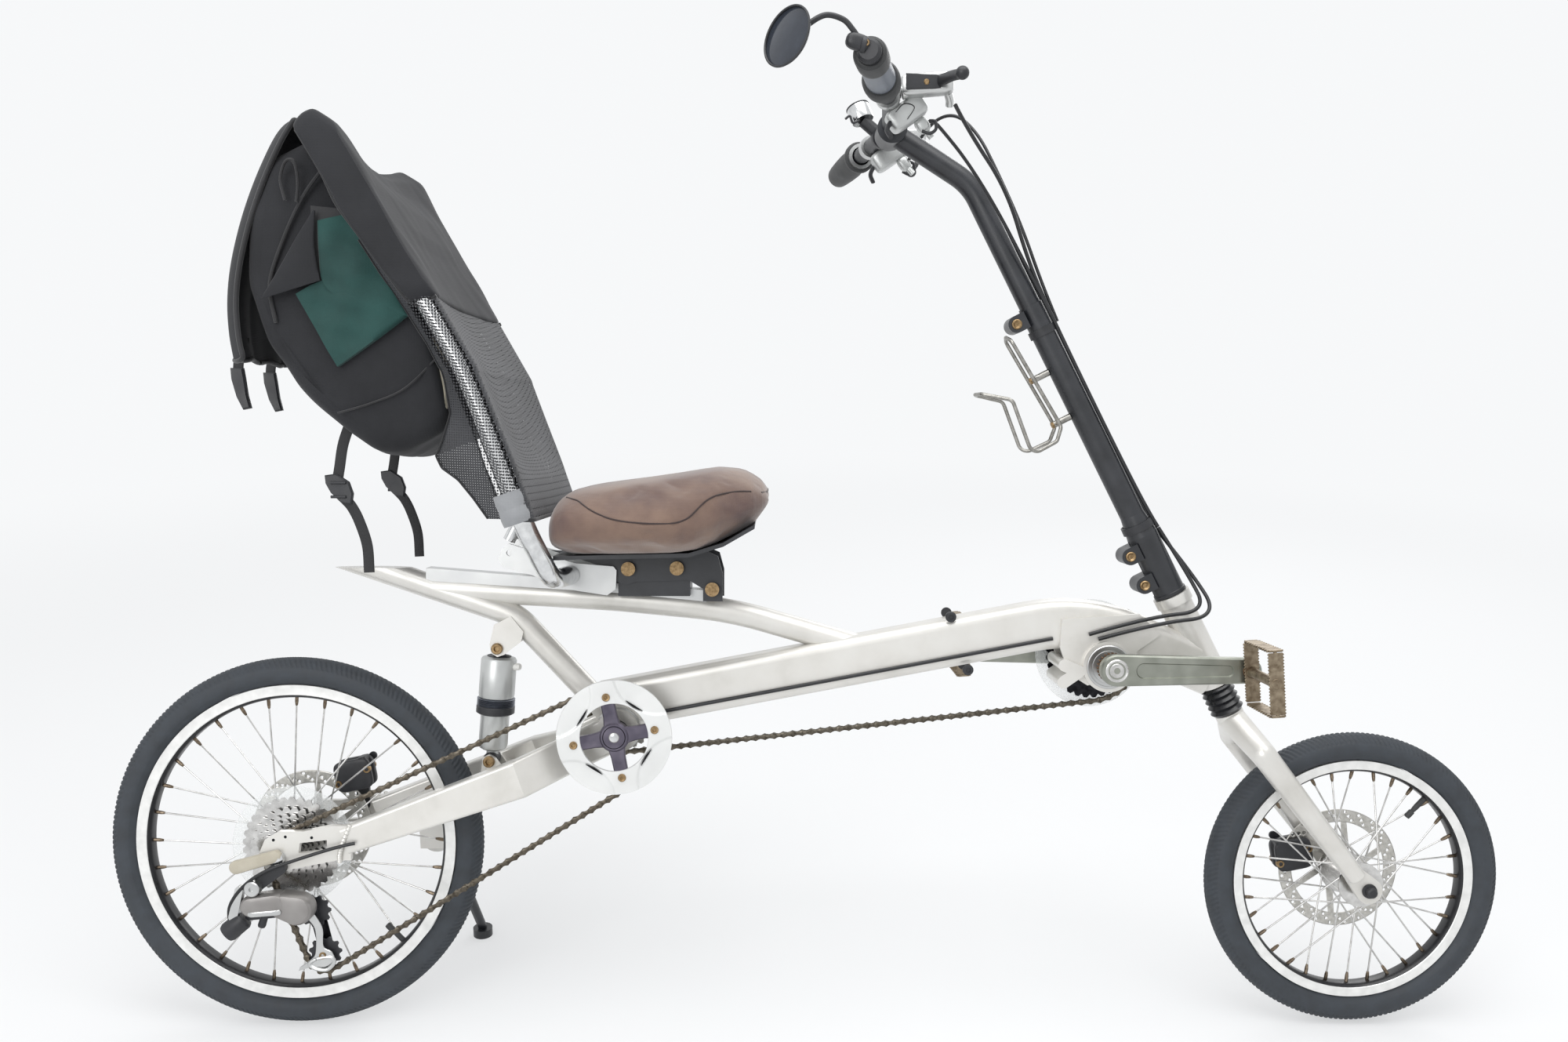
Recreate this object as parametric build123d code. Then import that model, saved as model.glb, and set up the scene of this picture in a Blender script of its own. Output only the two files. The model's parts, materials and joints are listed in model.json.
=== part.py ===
from build123d import *
import os
from math import acos, asin, atan2, cos, degrees, hypot, pi, radians, sin, sqrt, tan

# A recumbent bicycle with two wheels in line, parked leaning on its side stand.
# Lengths are in millimetres and angles in degrees. The bicycle is drawn upright,
# X forward, Y to its left and Z up from the ground under the rear hub. The end of
# this file leans it onto the stand and moves the origin under its middle.
# A place in the side view is a pair (x, z). A place in space is (x, y, z).

# Ways of making a piece
lean_angle = 9.0
clearance = 0.3
overrun = 5.0
cutter_reach = 400.0
half_share = 0.5

# Wheels
wheelbase = 1391.0
rear_tyre_radius = 243.0
front_tyre_radius = 194.0
tyre_width = 40.0
rear_rim_radius = 208.0
front_rim_radius = 158.5
rear_rim_depth = 17.5
front_rim_depth = 15.5
rim_width = 25.0
rim_inner_width = 13.0
rim_web = 3.0
rim_bed_depth = 6.0
rim_knee_share = 0.6
spoke_diameter = 2.2
spoke_count = 32
spoke_crossing_angle = 68.0
hub_barrel_radius = 13.0
rear_flange_radius = 24.0
front_flange_radius = 29.0
hub_flange_thickness = 3.5
rear_flange_y = (31.0, -16.0)
front_flange_y = (22.0, -33.0)
rotor_radius = 80.0
rotor_band = 16.0
rotor_thickness = 2.0
rotor_arm_width = 9.0
rotor_arm_count = 6
rotor_hub_radius = 24.0
rear_rotor_y = 51.0
front_rotor_y = 36.5
axle_radius = 5.0
rear_dropout_y = 67.5
front_dropout_y = 50.0

# Main frame tubes
beam_height = 64.0
beam_width = 44.0
beam_corner_radius = 13.0
beam_rear = (402.0, 422.0)
beam_arch = (1030.0, 541.5)
beam_front = (1196.0, 470.0)
beam_arch_radius = 230.0
frame_tube_diameter = 32.0
upper_tube_rear = (176.0, 578.0)
upper_tube_bends = ((420.0, 563.0), (566.0, 549.0))
upper_tube_front = (752.0, 496.0)
upper_tube_bend_radii = (900.0, 500.0)
stay_tail = (44.0, 624.0)
stay_bend = (288.0, 541.0)
stay_bend_radius = 75.0
tail_top_z = 604.0
rail_rear = (174.0, 604.0)
rail_front = (536.0, 576.0)
rail_width = 26.0
rail_height = 18.0

# Steering head
steering_angle = 27.0
head_top = (1144.0, 572.0)
head_tube_diameter = 43.0
head_tube_bore = 35.0
head_tube_length = 134.0
cup_diameter = 48.0
cup_height = 14.0
cup_gap = 1.0
steerer_diameter = 28.6
boot_length = 42.0
boot_diameter = 44.0
boot_ring_depth = 3.5
boot_ring_count = 5
steering_limit_angle = 45.0

# Bottom bracket with its eccentric insert
bracket_centre = (1056.0, 480.0)
bracket_radius = 33.0
bracket_wall = 4.5
bracket_half_width = 34.0
crank_axis = (1052.0, 484.5)
crank_axle_radius = 9.0
lug_root = (1018.0, 474.0)
lug_centres = ((999.0, 482.0), (998.0, 460.0))
lug_radius = 8.0
gusset_outline = ((996.0, 541.0), (1096.0, 548.0), (1124.0, 521.0), (1094.0, 500.0), (1092.0, 470.0),
                  (1030.0, 455.0), (1006.0, 470.0), (994.0, 505.0))
gusset_thickness = 6.0

# Middle drive on its own shaft
jack_axis = (423.0, 396.0)
jack_housing_radius = 29.0
jack_housing_half_width = 26.0
jack_bore_radius = 15.0
jack_axle_radius = 9.0

# Chains and sprockets
chain_pitch = 12.7
chain_height = 8.4
chain_width = 6.6
tooth_gap = 4.6
tooth_depth = 4.4
tooth_shares = (0.0, 0.32, 0.68)
sprocket_thickness = 2.4
front_chain_y = 47.0
rear_chain_y = -61.0
crank_ring_teeth = 32
jack_left_teeth = 23
jack_right_teeth = 32
cassette_teeth = (11, 12, 14, 16, 18, 21, 24, 28, 34)
cassette_step = 4.5
cassette_cog_thickness = 1.8
guard_disc_radius = 73.0
guard_disc_inner_radius = 43.0
guard_disc_thickness = 4.0
guard_disc_gap = 3.0
spider_arm_width = 17.0
spider_thickness = 6.0
spider_boss_radius = 15.0
spider_bolt_radius = 52.0
spider_bolt_head_radius = 5.0
spider_turn_angle = 11.0
spider_arm_count = 4
spoke_guard_radius = 78.0
spoke_guard_thickness = 2.0

# Cranks and pedals
crank_arm_length = 166.0
crank_arm_thickness = 14.0
crank_boss_radius = 20.0
crank_tip_radius = 16.0
crank_arm_y = 82.0
pedal_axle_radius = 6.0
pedal_axle_gap = 4.0
pedal_length = 92.0
pedal_width = 84.0
pedal_height = 26.0
pedal_wall = 7.0
pedal_barrel_radius = 13.0
pedal_hang_angle = 86.0

# Swinging rear arm and shock
arm_rear = (84.0, 264.0)
arm_knee = (304.0, 343.0)
arm_waist = (354.0, 362.0)
arm_rear_height = 34.0
arm_front_height = 48.0
arm_thickness = 24.0
arm_corner_radius = 4.0
arm_y = 66.0
arm_pivot_radius = 27.0
arm_pivot_width = 12.0
dropout_thickness = 8.0
dropout_outline = ((92.0, 284.0), (66.0, 284.0), (33.0, 277.0), (2.0, 277.0), (-16.0, 266.0), (-24.0, 247.0),
                   (-14.0, 226.0), (6.0, 226.0), (74.0, 240.0), (92.0, 240.0))
dropout_window = ((62.0, 266.0), (28.0, 262.0), (26.0, 249.0), (62.0, 252.0))
bridge_place = (272.0, 328.0)
bridge_length = 46.0
bridge_height = 22.0
shock_top = (266.0, 500.0)
shock_foot = (254.0, 352.0)
# Radii of the shock and how far down its length each one comes, as shares of that length
shock_radii = (0.0, 8.0, 8.0, 17.0, 23.5, 23.5, 25.0, 25.0, 19.0, 19.0, 15.0, 8.0, 8.0, 0.0)
shock_shares = (0.0, 0.0, 0.09, 0.09, 0.12, 0.455, 0.46, 0.58, 0.59, 0.88, 0.91, 0.91, 1.0, 1.0)
shock_eye_radius = 10.0
shock_eye_width = 22.0
ear_thickness = 6.0
ear_gap = 1.0
top_ear_outline = ((262.0, 531.0), (256.0, 505.0), (258.0, 494.0), (266.0, 489.0), (275.0, 492.0),
                   (297.0, 509.0), (300.0, 522.0), (284.0, 542.0))
foot_ear_outline = ((243.0, 336.0), (246.0, 357.0), (254.0, 361.0), (262.0, 356.0), (276.0, 336.0))

# Side stand
stand_pivot = (160.0, 96.0, 232.0)
stand_foot_x = 192.0
stand_foot_y = 212.0
stand_foot_radius = 14.0
stand_foot_height = 12.0
stand_leg_diameter = 15.0
stand_tip_diameter = 13.0
stand_stow_point = (-104.0, 112.0, 186.0)
stand_knuckle_radius = 15.0
stand_knuckle_width = 16.0
stand_boss_length = 24.0
stand_pin_radius = 4.0
stand_bracket_outline = ((140.0, 300.0), (180.0, 300.0), (176.0, 214.0), (144.0, 214.0))
stand_bracket_thickness = 24.0

# Seat
seat_plate_y = 30.0
seat_plate_thickness = 5.0
side_plate_outline = ((339.0, 629.0), (423.0, 626.0), (534.0, 630.0), (552.0, 622.0), (558.0, 600.0),
                      (558.0, 564.0), (533.0, 564.0), (533.0, 580.0), (515.0, 591.0), (448.0, 589.0),
                      (435.0, 585.0), (420.0, 590.0), (400.0, 610.0))
back_plate_y = 35.5
back_plate_outline = ((278.0, 632.0), (286.0, 638.0), (318.0, 628.0), (371.0, 613.0), (419.0, 609.0),
                      (423.0, 604.0), (422.0, 580.0), (411.0, 572.0), (358.0, 580.0), (315.0, 598.0),
                      (280.0, 607.0), (272.0, 618.0))
recline_hole = (287.0, 626.0)
recline_hole_radius = 4.0
seat_bolt_places = ((438.0, 606.0), (500.0, 607.0), (545.0, 580.0))
seat_bolt_radius = 9.0
seat_bolt_head = 3.0
seat_clamp_outline = ((424.0, 616.0), (516.0, 616.0), (516.0, 570.0), (424.0, 570.0))
pan_outline = ((356.0, 629.0), (520.0, 633.0), (562.0, 646.0), (600.0, 668.0))
pan_thickness = 5.0
pan_half_width = 120.0
cushion_top = ((624.0, 684.0), (619.0, 700.0), (592.0, 721.0), (560.0, 727.0), (470.0, 712.0),
               (366.0, 698.0), (351.0, 684.0))
cushion_plan = ((350.0, 150.0), (366.0, 172.0), (450.0, 180.0), (540.0, 160.0), (600.0, 120.0),
                (626.0, 70.0))
cushion_corner_radius = 9.0
back_tube_diameter = 25.0
back_half_width = 160.0
back_tube_path = ((364.0, 38.0, 598.0), (354.0, 118.0, 600.0), (331.0, 160.0, 664.0), (263.0, 168.0, 852.0),
                  (109.0, 175.5, 1120.0))
back_tube_bend_radii = (40.0, 80.0, 600.0)
back_bar_shares = (0.30, 0.86)
strut_foot = (284.0, 641.0)
strut_y = 24.5
strut_diameter = 16.0
mesh_thickness = 3.0
mesh_count = 12
mesh_half_width = 172.0
mesh_forward = 18.0
mesh_shares = (0.08, 0.98)
back_share = 0.83
sleeve_outline = ((80.0, 1142.0), (96.0, 1154.0), (112.0, 1150.0), (124.0, 1138.0), (164.0, 1070.0),
                  (206.0, 998.0), (243.0, 936.0), (224.0, 926.0), (204.0, 920.0), (178.0, 958.0),
                  (146.0, 1002.0), (121.0, 1037.0), (100.0, 1076.0), (73.0, 1126.0))
sleeve_half_width = 193.0
pouch_outline = ((66.0, 1128.0), (100.0, 1078.0), (121.0, 1039.0), (146.0, 1004.0), (178.0, 960.0),
                 (207.0, 924.0), (222.0, 880.0), (232.0, 840.0), (238.0, 792.0), (222.0, 775.0),
                 (176.0, 754.0), (147.0, 754.0), (112.0, 778.0), (55.0, 836.0), (24.0, 880.0),
                 (-4.0, 950.0), (0.0, 1040.0), (22.0, 1108.0))
pouch_half_width = 152.0
flap_outline = ((46.0, 1143.0), (74.0, 1130.0), (24.0, 1112.0), (0.0, 1040.0), (-6.0, 950.0),
                (4.0, 884.0), (-16.0, 874.0), (-37.0, 867.0), (-46.0, 940.0), (-39.0, 985.0),
                (-23.0, 1037.0), (0.0, 1093.0), (24.0, 1130.0))
flap_half_width = 140.0

# Fork
crown_gap = 10.0
fork_neck_diameter = 37.0
fork_blade_y = 56.0
fork_shoulder = (1250.0, 372.0)
fork_blade_foot = (1374.0, 212.0)
fork_blade_radii = (16.0, 12.5)
fork_shoulder_radius = 30.0
fork_tip_radius = 17.0
fork_tip_thickness = 8.0

# Riser and bar
riser_base_diameter = 40.0
riser_base_length = 86.0
riser_neck_length = 30.0
riser_diameter = 31.8
riser_length = 419.0
inner_riser_diameter = 28.6
riser_bend_height = 592.0
riser_bend_radius = 80.0
bar_centre = (772.0, 1165.0)
bar_diameter = 22.2
bar_clamp_radius = 19.0
bar_clamp_width = 46.0
bar_knee = (764.0, 90.0, 1176.0)
bar_end = (722.0, 306.0, 1172.0)
bar_bend_radius = 90.0
grip_radius = 16.5
grip_length = 122.0
flange_radius = 22.0
flange_length = 8.0
clamp_bolt_radius = 7.5
clamp_lug_radius = 11.0
clamp_lug_width = 34.0
clamp_lug_heights = (28.0, 70.0, 405.0)
clamp_lug_offset = 29.0
cage_wire_diameter = 5.0
cage_wire = ((396.0, -46.0, 0.0), (390.0, -45.0, 18.0), (262.0, -36.0, 18.0), (248.0, -50.0, 22.0),
             (248.0, -88.0, 34.0), (322.0, -80.0, 34.0), (346.0, -110.0, 24.0), (348.0, -114.0, 0.0))
cage_wire_radii = (8.0, 8.0, 8.0, 12.0, 10.0, 8.0)
cage_boss_heights = (331.0, 267.0)
cage_boss_radius = 4.5
lever_clamp = (764.0, 132.0, 1178.0)
lever_clamp_radius = 15.0
lever_clamp_width = 14.0
lever_body_front = (814.0, 118.0, 1190.0)
lever_body_radius = 9.0
lever_ball = (826.0, 255.0, 1168.0)
lever_ball_radius = 7.5
lever_blade_radius = 5.0
lever_gap = 1.0
shifter_centre = (784.0, 112.0, 1158.0)
shifter_size = (44.0, 34.0, 26.0)
shifter_corner_radius = 8.0
bell_centre = (740.0, 62.0, 1196.0)
bell_radius = 16.0
bell_height = 22.0
bell_stem_radius = 8.0
mirror_arm = ((722.0, -318.0, 1173.0), (700.0, -322.0, 1196.0), (672.0, -326.0, 1206.0),
              (640.0, -328.0, 1193.0))
mirror_arm_radii = (14.0, 14.0)
mirror_arm_diameter = 6.0
mirror_centre = (634.0, -330.0, 1190.0)
mirror_radius = 33.0
mirror_thickness = 8.0
mirror_facing = (-0.55, -0.8, 0.22)
cable_diameter = 5.0
riser_cable_table = (((668.0, -6.0, -136.0), (640.0, 2.0, -104.0), (560.0, 26.0, -52.0),
                      (470.0, 20.0, -12.0), (385.0, 16.8, -9.0), (122.0, 16.8, -9.0), (88.0, 21.4, -9.0)),
                     ((690.0, -6.0, 150.0), (640.0, 10.0, 104.0), (560.0, 26.0, 52.0),
                      (470.0, 20.0, 12.0), (385.0, 16.8, 9.0), (122.0, 16.8, 9.0), (88.0, 21.4, 9.0)))
riser_cable_radii = (60.0, 90.0, 90.0, 120.0, 60.0)
loop_cable_table = (((87.0, 21.4, -9.0), (16.0, 28.0, -16.0), (-34.0, 24.0, -36.0), (-7.0, -44.0, -36.0),
                     (7.0, -124.0, -31.3)),
                    ((87.0, 21.4, 9.0), (14.0, 36.0, -3.0), (-46.0, 34.0, -40.0), (-17.0, -40.0, -42.0),
                     (-4.0, -116.0, -31.3)))
loop_cable_radii = (60.0, 25.0, 60.0)
beam_cable_ends = ((985.0, 515.6), (470.0, 417.6))
caliper_corner_radius = 6.0
caliper_gap = 2.5
front_caliper_size = (54.0, 30.0, 46.0)
front_caliper_shift = (-63.0, 39.0, 20.0)
rear_caliper_size = (54.0, 37.5, 46.0)
rear_caliper_shift = (58.0, 56.7, 75.0)
caliper_tab = ((64.0, 272.0), (64.0, 304.0))
caliper_tab_radius = 9.0
lever_disc_radius = 10.0
lever_disc_thickness = 9.0
axle_lever = ((0.0, 243.0), (-48.0, 234.0))
axle_lever_radii = (8.0, 5.0)
axle_lever_thickness = 5.0
bell_lean = (-0.35, 0.25, 0.9)
bell_top_share = 0.8
mirror_back_share = 0.7
bar_plug_radius = 11.5
cage_foot_forward = -40.0

# Rear derailleur
changer_hanger = ((6.0, 240.0), (-26.0, 209.0))
changer_hanger_radii = (14.0, 11.0)
changer_body = ((-22.0, 206.0), (40.0, 170.0))
changer_body_radii = (15.0, 19.0)
changer_barrel = ((-62.0, 170.0), (-36.0, 150.0))
changer_barrel_radius = 12.0
changer_y = -82.0
changer_thickness = 20.0
hanger_thickness = 10.0
pulley_high = (40.0, 170.0)
pulley_low = (53.0, 116.0)
pulley_teeth = 11
pulley_bolt_radius = 5.0
cage_plate_places = ((40.0, 170.0), (53.0, 116.0), (20.0, 97.0))
cage_plate_radii = (11.0, 15.0, 4.0)
inner_plate_radius = 11.0
cage_plate_thickness = 2.0


def point(place, y):
    """Put a place of the side view at the given distance to the left."""
    return (place[0], y, place[1])


def between(a, b, share):
    """The place at a share of the way from a to b."""
    return tuple(p + (q - p) * share for p, q in zip(a, b))


def distance(a, b):
    return sqrt(sum((q - p) ** 2 for p, q in zip(a, b)))


def plate(outline, y, thickness, corner=0.0):
    """A flat plate of a side-view outline, with its middle plane at y."""
    plane = Plane(origin=(0, y + thickness / 2, 0), x_dir=(1, 0, 0), z_dir=(0, -1, 0))
    face = make_face(Polyline(outline, close=True).edges())
    if corner > 0:
        face = fillet(face.vertices(), corner)
    return extrude(plane * face, amount=thickness)


def disc(place, radius, y, thickness):
    """A flat round disc across the bicycle, with its middle plane at y."""
    plane = Plane(origin=(place[0], y + thickness / 2, place[1]), x_dir=(1, 0, 0), z_dir=(0, -1, 0))
    return extrude(plane * Circle(radius), amount=thickness)


def arm_plate(place_a, radius_a, place_b, radius_b, y, thickness):
    """A plate hulled round two circles of the side view."""
    plane = Plane(origin=(0, y + thickness / 2, 0), x_dir=(1, 0, 0), z_dir=(0, -1, 0))
    rings = Pos(*place_a) * Circle(radius_a) + Pos(*place_b) * Circle(radius_b)
    return extrude(plane * make_hull(rings.edges()), amount=thickness)


def rod(start, end, radius):
    """A round bar from start to end."""
    path = Vector(*end) - Vector(*start)
    plane = Plane(origin=start, z_dir=path)
    return extrude(plane * Circle(radius), amount=path.length)


def cone(start, end, start_radius, end_radius):
    """A tapered round bar from start to end."""
    path = Vector(*end) - Vector(*start)
    plane = Plane(origin=start, z_dir=path)
    far = Plane(origin=end, x_dir=plane.x_dir, z_dir=path)
    return loft([plane * Circle(start_radius), far * Circle(end_radius)])


def tube_path(points, radii):
    """Straight runs joined by arcs that touch them."""
    return FilletPolyline(*points, radius=list(radii))


def bent_tube(points, radii, diameter):
    """A round tube along straight runs joined by arcs."""
    path = tube_path(points, radii)
    section = Plane(origin=path @ 0, z_dir=path % 0) * Circle(diameter / 2)
    return sweep(section, path=path)


def turned(place, profile, x_dir=(1, 0, 0)):
    """Turn a profile of (radius, y) round an axle across the bicycle."""
    plane = Plane(origin=point(place, 0), x_dir=x_dir, z_dir=(0, 0, 1))
    face = make_face(Polyline(profile, close=True).edges())
    return revolve(plane * face, axis=Axis(point(place, 0), (0, 1, 0)))


def up_axis(angle):
    """Unit direction that leans back from the vertical by angle."""
    return Vector(-sin(radians(angle)), 0, cos(radians(angle)))


fork_crown_drop = head_tube_length + boot_length + crown_gap
steering_up = up_axis(steering_angle)
steering_front = Vector(cos(radians(steering_angle)), 0, sin(radians(steering_angle)))
head_origin = Vector(head_top[0], 0, head_top[1])


def on_steering(height, forward=0.0, y=0.0):
    """A point measured along the steering axis from the top cup."""
    place = head_origin + steering_up * height + steering_front * forward
    return (place.X, y, place.Z)


def turned_on_steering(profile):
    """Turn a profile of (radius, height) round the steering axis."""
    plane = Plane(origin=head_origin, x_dir=steering_front, z_dir=steering_front.cross(steering_up))
    face = make_face(Polyline(profile, close=True).edges())
    return revolve(plane * face, axis=Axis(head_origin, steering_up))


def largest(shape):
    """The main solid of a cut piece, without the offcuts beyond the cut."""
    return max(shape.solids(), key=lambda solid: solid.volume)


def block(centre, size, corner):
    """A rounded block of (length, width, height) round its centre."""
    shape = Box(*size)
    if corner > 0:
        shape = fillet(shape.edges(), corner)
    return Pos(*centre) * shape


# Wheels
rear_hub = (0.0, rear_tyre_radius)
front_hub = (wheelbase, front_tyre_radius)
tread_radius = tyre_width / 2
tread_angles = (lean_angle, 50.0, 102.0)


def tyre(hub, outer_radius, rim_radius):
    """A round tyre whose crown has a corner where it meets the ground at the lean."""
    middle = outer_radius - tread_radius
    right = [(middle + tread_radius * cos(radians(a)), tread_radius * sin(radians(a))) for a in tread_angles]
    seat = (rim_radius + clearance, rim_width / 2 - rim_web / 2)
    left = [(r, -y) for r, y in reversed([seat] + right[::-1])]
    profile = [seat] + right[::-1] + left
    return turned(hub, profile)


def rim(hub, radius, depth):
    """A box rim: two side walls, a well for the tyre and a narrower inner face."""
    half = rim_width / 2
    inner = rim_inner_width / 2
    bed = radius - rim_bed_depth
    profile = [(radius, half), (radius, half - rim_web), (bed, half - rim_web), (bed, rim_web - half),
               (radius, rim_web - half), (radius, -half), (radius - depth * rim_knee_share, -half),
               (radius - depth, -inner), (radius - depth, inner), (radius - depth * rim_knee_share, half)]
    return turned(hub, profile)


def laced_hub(hub, flange_radius, flange_y, rim_radius, rim_depth, end_y, body_ends):
    """A hub shell with its flanges, its axle and the crossed wire spokes."""
    shell = rod(point(hub, body_ends[0]), point(hub, body_ends[1]), hub_barrel_radius)
    shell += rod(point(hub, end_y), point(hub, -end_y), axle_radius)
    for y in flange_y:
        shell += disc(hub, flange_radius, y, hub_flange_thickness)
    hole_radius = flange_radius - hub_flange_thickness
    nipple_radius = rim_radius - rim_depth - clearance
    step = 360 / spoke_count
    for number in range(spoke_count):
        side = number % 2
        lead = spoke_crossing_angle if number % 4 < 2 else -spoke_crossing_angle
        rim_angle = radians(number * step)
        hub_angle = radians(number * step + lead)
        start = (hub[0] + hole_radius * cos(hub_angle), hub[1] + hole_radius * sin(hub_angle))
        end = (hub[0] + nipple_radius * cos(rim_angle), hub[1] + nipple_radius * sin(rim_angle))
        shell += rod(point(start, flange_y[side]), point(end, 0), spoke_diameter / 2)
    return shell


rotor_width_cut = rotor_thickness + overrun


def rotor(hub, y):
    """A brake disc: a braking band held by arms to a small centre."""
    band = disc(hub, rotor_radius, y, rotor_thickness)
    band -= disc(hub, rotor_radius - rotor_band, y, rotor_width_cut)
    centre = disc(hub, rotor_hub_radius, y, rotor_thickness)
    arms = centre
    for number in range(rotor_arm_count):
        angle = radians(number * 360 / rotor_arm_count)
        lead = radians(360 / rotor_arm_count * half_share)
        start = rotor_hub_radius * half_share
        inner = (hub[0] + start * cos(angle), hub[1] + start * sin(angle))
        reach = rotor_radius - rotor_band * half_share
        outer = (hub[0] + reach * cos(angle + lead), hub[1] + reach * sin(angle + lead))
        arms += arm_plate(inner, rotor_arm_width / 2, outer, rotor_arm_width / 2, y, rotor_thickness)
    return band + arms - disc(hub, hub_barrel_radius + clearance, y, rotor_width_cut)


def sprocket(axis, teeth, y, thickness, bore):
    """A toothed wheel whose tips stay just inside the chain that runs round it."""
    tip = pitch_radius_of(teeth) - tooth_gap
    outline = []
    for number in range(teeth):
        for share in tooth_shares:
            radius = tip if share > 0 else tip - tooth_depth
            angle = 2 * pi * (number + share) / teeth
            outline.append((axis[0] + radius * cos(angle), axis[1] + radius * sin(angle)))
    return plate(outline, y, thickness) - disc(axis, bore, y, thickness + overrun)


def pitch_radius_of(teeth):
    return chain_pitch / 2 / sin(pi / teeth)


def chain_loop(wheels, offset):
    """The face inside a chain's line, moved outwards by offset, round wheels of (place, radius, side).

    Side 1 is a wheel inside the loop and -1 one outside it. A straight run leaves the line
    between two wheels by the angle whose sine is the difference of their reaches over their distance."""
    runs = []
    for (place_a, radius_a, side_a), (place_b, radius_b, side_b) in zip(wheels, wheels[1:] + wheels[:1]):
        reach_a = side_a * radius_a + offset
        reach_b = side_b * radius_b + offset
        heading = atan2(place_b[1] - place_a[1], place_b[0] - place_a[0])
        heading += asin((reach_a - reach_b) / distance(place_a, place_b))
        out = (sin(heading), -cos(heading))
        runs.append(((place_a[0] + reach_a * out[0], place_a[1] + reach_a * out[1]),
                     (place_b[0] + reach_b * out[0], place_b[1] + reach_b * out[1])))
    edges = []
    for number, (place, radius, side) in enumerate(wheels):
        start = runs[number - 1][1]
        end = runs[number][0]
        start_angle = atan2(start[1] - place[1], start[0] - place[0])
        end_angle = atan2(end[1] - place[1], end[0] - place[0])
        sweep = side * (end_angle - start_angle) % (2 * pi)
        middle_angle = start_angle + side * sweep / 2
        reach = abs(side * radius + offset)
        middle = (place[0] + reach * cos(middle_angle), place[1] + reach * sin(middle_angle))
        edges.append(ThreePointArc(start, middle, end))
        edges.append(Line(end, runs[number][1]))
    return make_face(edges)


def chain_band(wheels, y):
    """A closed chain run tight round its wheels, taken counterclockwise."""
    plane = Plane(origin=(0, y + chain_width / 2, 0), x_dir=(1, 0, 0), z_dir=(0, -1, 0))
    band = chain_loop(wheels, chain_height / 2) - chain_loop(wheels, -chain_height / 2)
    return extrude(plane * band, amount=chain_width)


node = {}

# Wheels: tyre, rim, laced hub and brake disc of each
node["rear_tyre"] = tyre(rear_hub, rear_tyre_radius, rear_rim_radius)
node["rear_rim"] = rim(rear_hub, rear_rim_radius, rear_rim_depth)
rear_shell_ends = (rear_rotor_y + rotor_thickness / 2, rear_flange_y[1] - hub_flange_thickness)
node["rear_hub_spokes"] = laced_hub(rear_hub, rear_flange_radius, rear_flange_y, rear_rim_radius,
                                    rear_rim_depth, rear_dropout_y - clearance, rear_shell_ends)
node["rear_rotor"] = rotor(rear_hub, rear_rotor_y)
node["front_tyre"] = tyre(front_hub, front_tyre_radius, front_rim_radius)
node["front_rim"] = rim(front_hub, front_rim_radius, front_rim_depth)
front_shell_ends = (front_rotor_y + rotor_thickness / 2, front_flange_y[1] - hub_flange_thickness)
node["front_hub_spokes"] = laced_hub(front_hub, front_flange_radius, front_flange_y, front_rim_radius,
                                     front_rim_depth, front_dropout_y - clearance, front_shell_ends)
node["front_rotor"] = rotor(front_hub, front_rotor_y)

# Sprocket stack of the rear wheel and the clear disc that guards the spokes
cassette_y = [rear_chain_y + cassette_step * number for number in range(len(cassette_teeth))]
cassette_core = rod(point(rear_hub, rear_chain_y - cassette_step / 2), point(rear_hub, cassette_y[-1]),
                    pitch_radius_of(cassette_teeth[0]) - tooth_gap - tooth_depth)
for teeth, y in zip(cassette_teeth, cassette_y):
    cassette_core += sprocket(rear_hub, teeth, y, cassette_cog_thickness, axle_radius + clearance)
node["cassette"] = cassette_core - disc(rear_hub, axle_radius + clearance, 0, cutter_reach)
guard_y = cassette_y[-1] + (cassette_cog_thickness + spoke_guard_thickness) / 2
node["spoke_guard"] = disc(rear_hub, spoke_guard_radius, guard_y, spoke_guard_thickness) - disc(
    rear_hub, rear_flange_radius, guard_y, spoke_guard_thickness + overrun)

# Main beam, upper tube, stay and the rail that the seat slides on
beam_path = tube_path([point(beam_rear, 0), point(beam_arch, 0), point(beam_front, 0)], [beam_arch_radius])
beam_start = Plane(origin=beam_path @ 0, x_dir=(0, 1, 0), z_dir=beam_path % 0)
beam = sweep(beam_start * RectangleRounded(beam_width, beam_height, beam_corner_radius), path=beam_path)
head_blank = rod(on_steering(-cup_height), on_steering(-head_tube_length), head_tube_diameter / 2)
head_bore = rod(on_steering(overrun), on_steering(-head_tube_length - overrun), head_tube_bore / 2)
head_room = rod(on_steering(overrun), on_steering(-head_tube_length - overrun), head_tube_diameter / 2)
front_room = Plane(origin=on_steering(0), x_dir=(0, 1, 0), z_dir=steering_front)
ahead = extrude(front_room * Rectangle(cutter_reach, cutter_reach), amount=cutter_reach)
housing_blank = rod(point(jack_axis, jack_housing_half_width), point(jack_axis, -jack_housing_half_width),
                    jack_housing_radius)
housing_bore = rod(point(jack_axis, jack_housing_half_width + overrun),
                   point(jack_axis, -jack_housing_half_width - overrun), jack_bore_radius)
node["jack_housing"] = housing_blank - housing_bore
bracket_blank = rod(point(bracket_centre, bracket_half_width), point(bracket_centre, -bracket_half_width),
                    bracket_radius)
node["main_beam"] = beam - head_room - ahead - housing_blank - bracket_blank
node["head_tube"] = head_blank - head_bore

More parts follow.
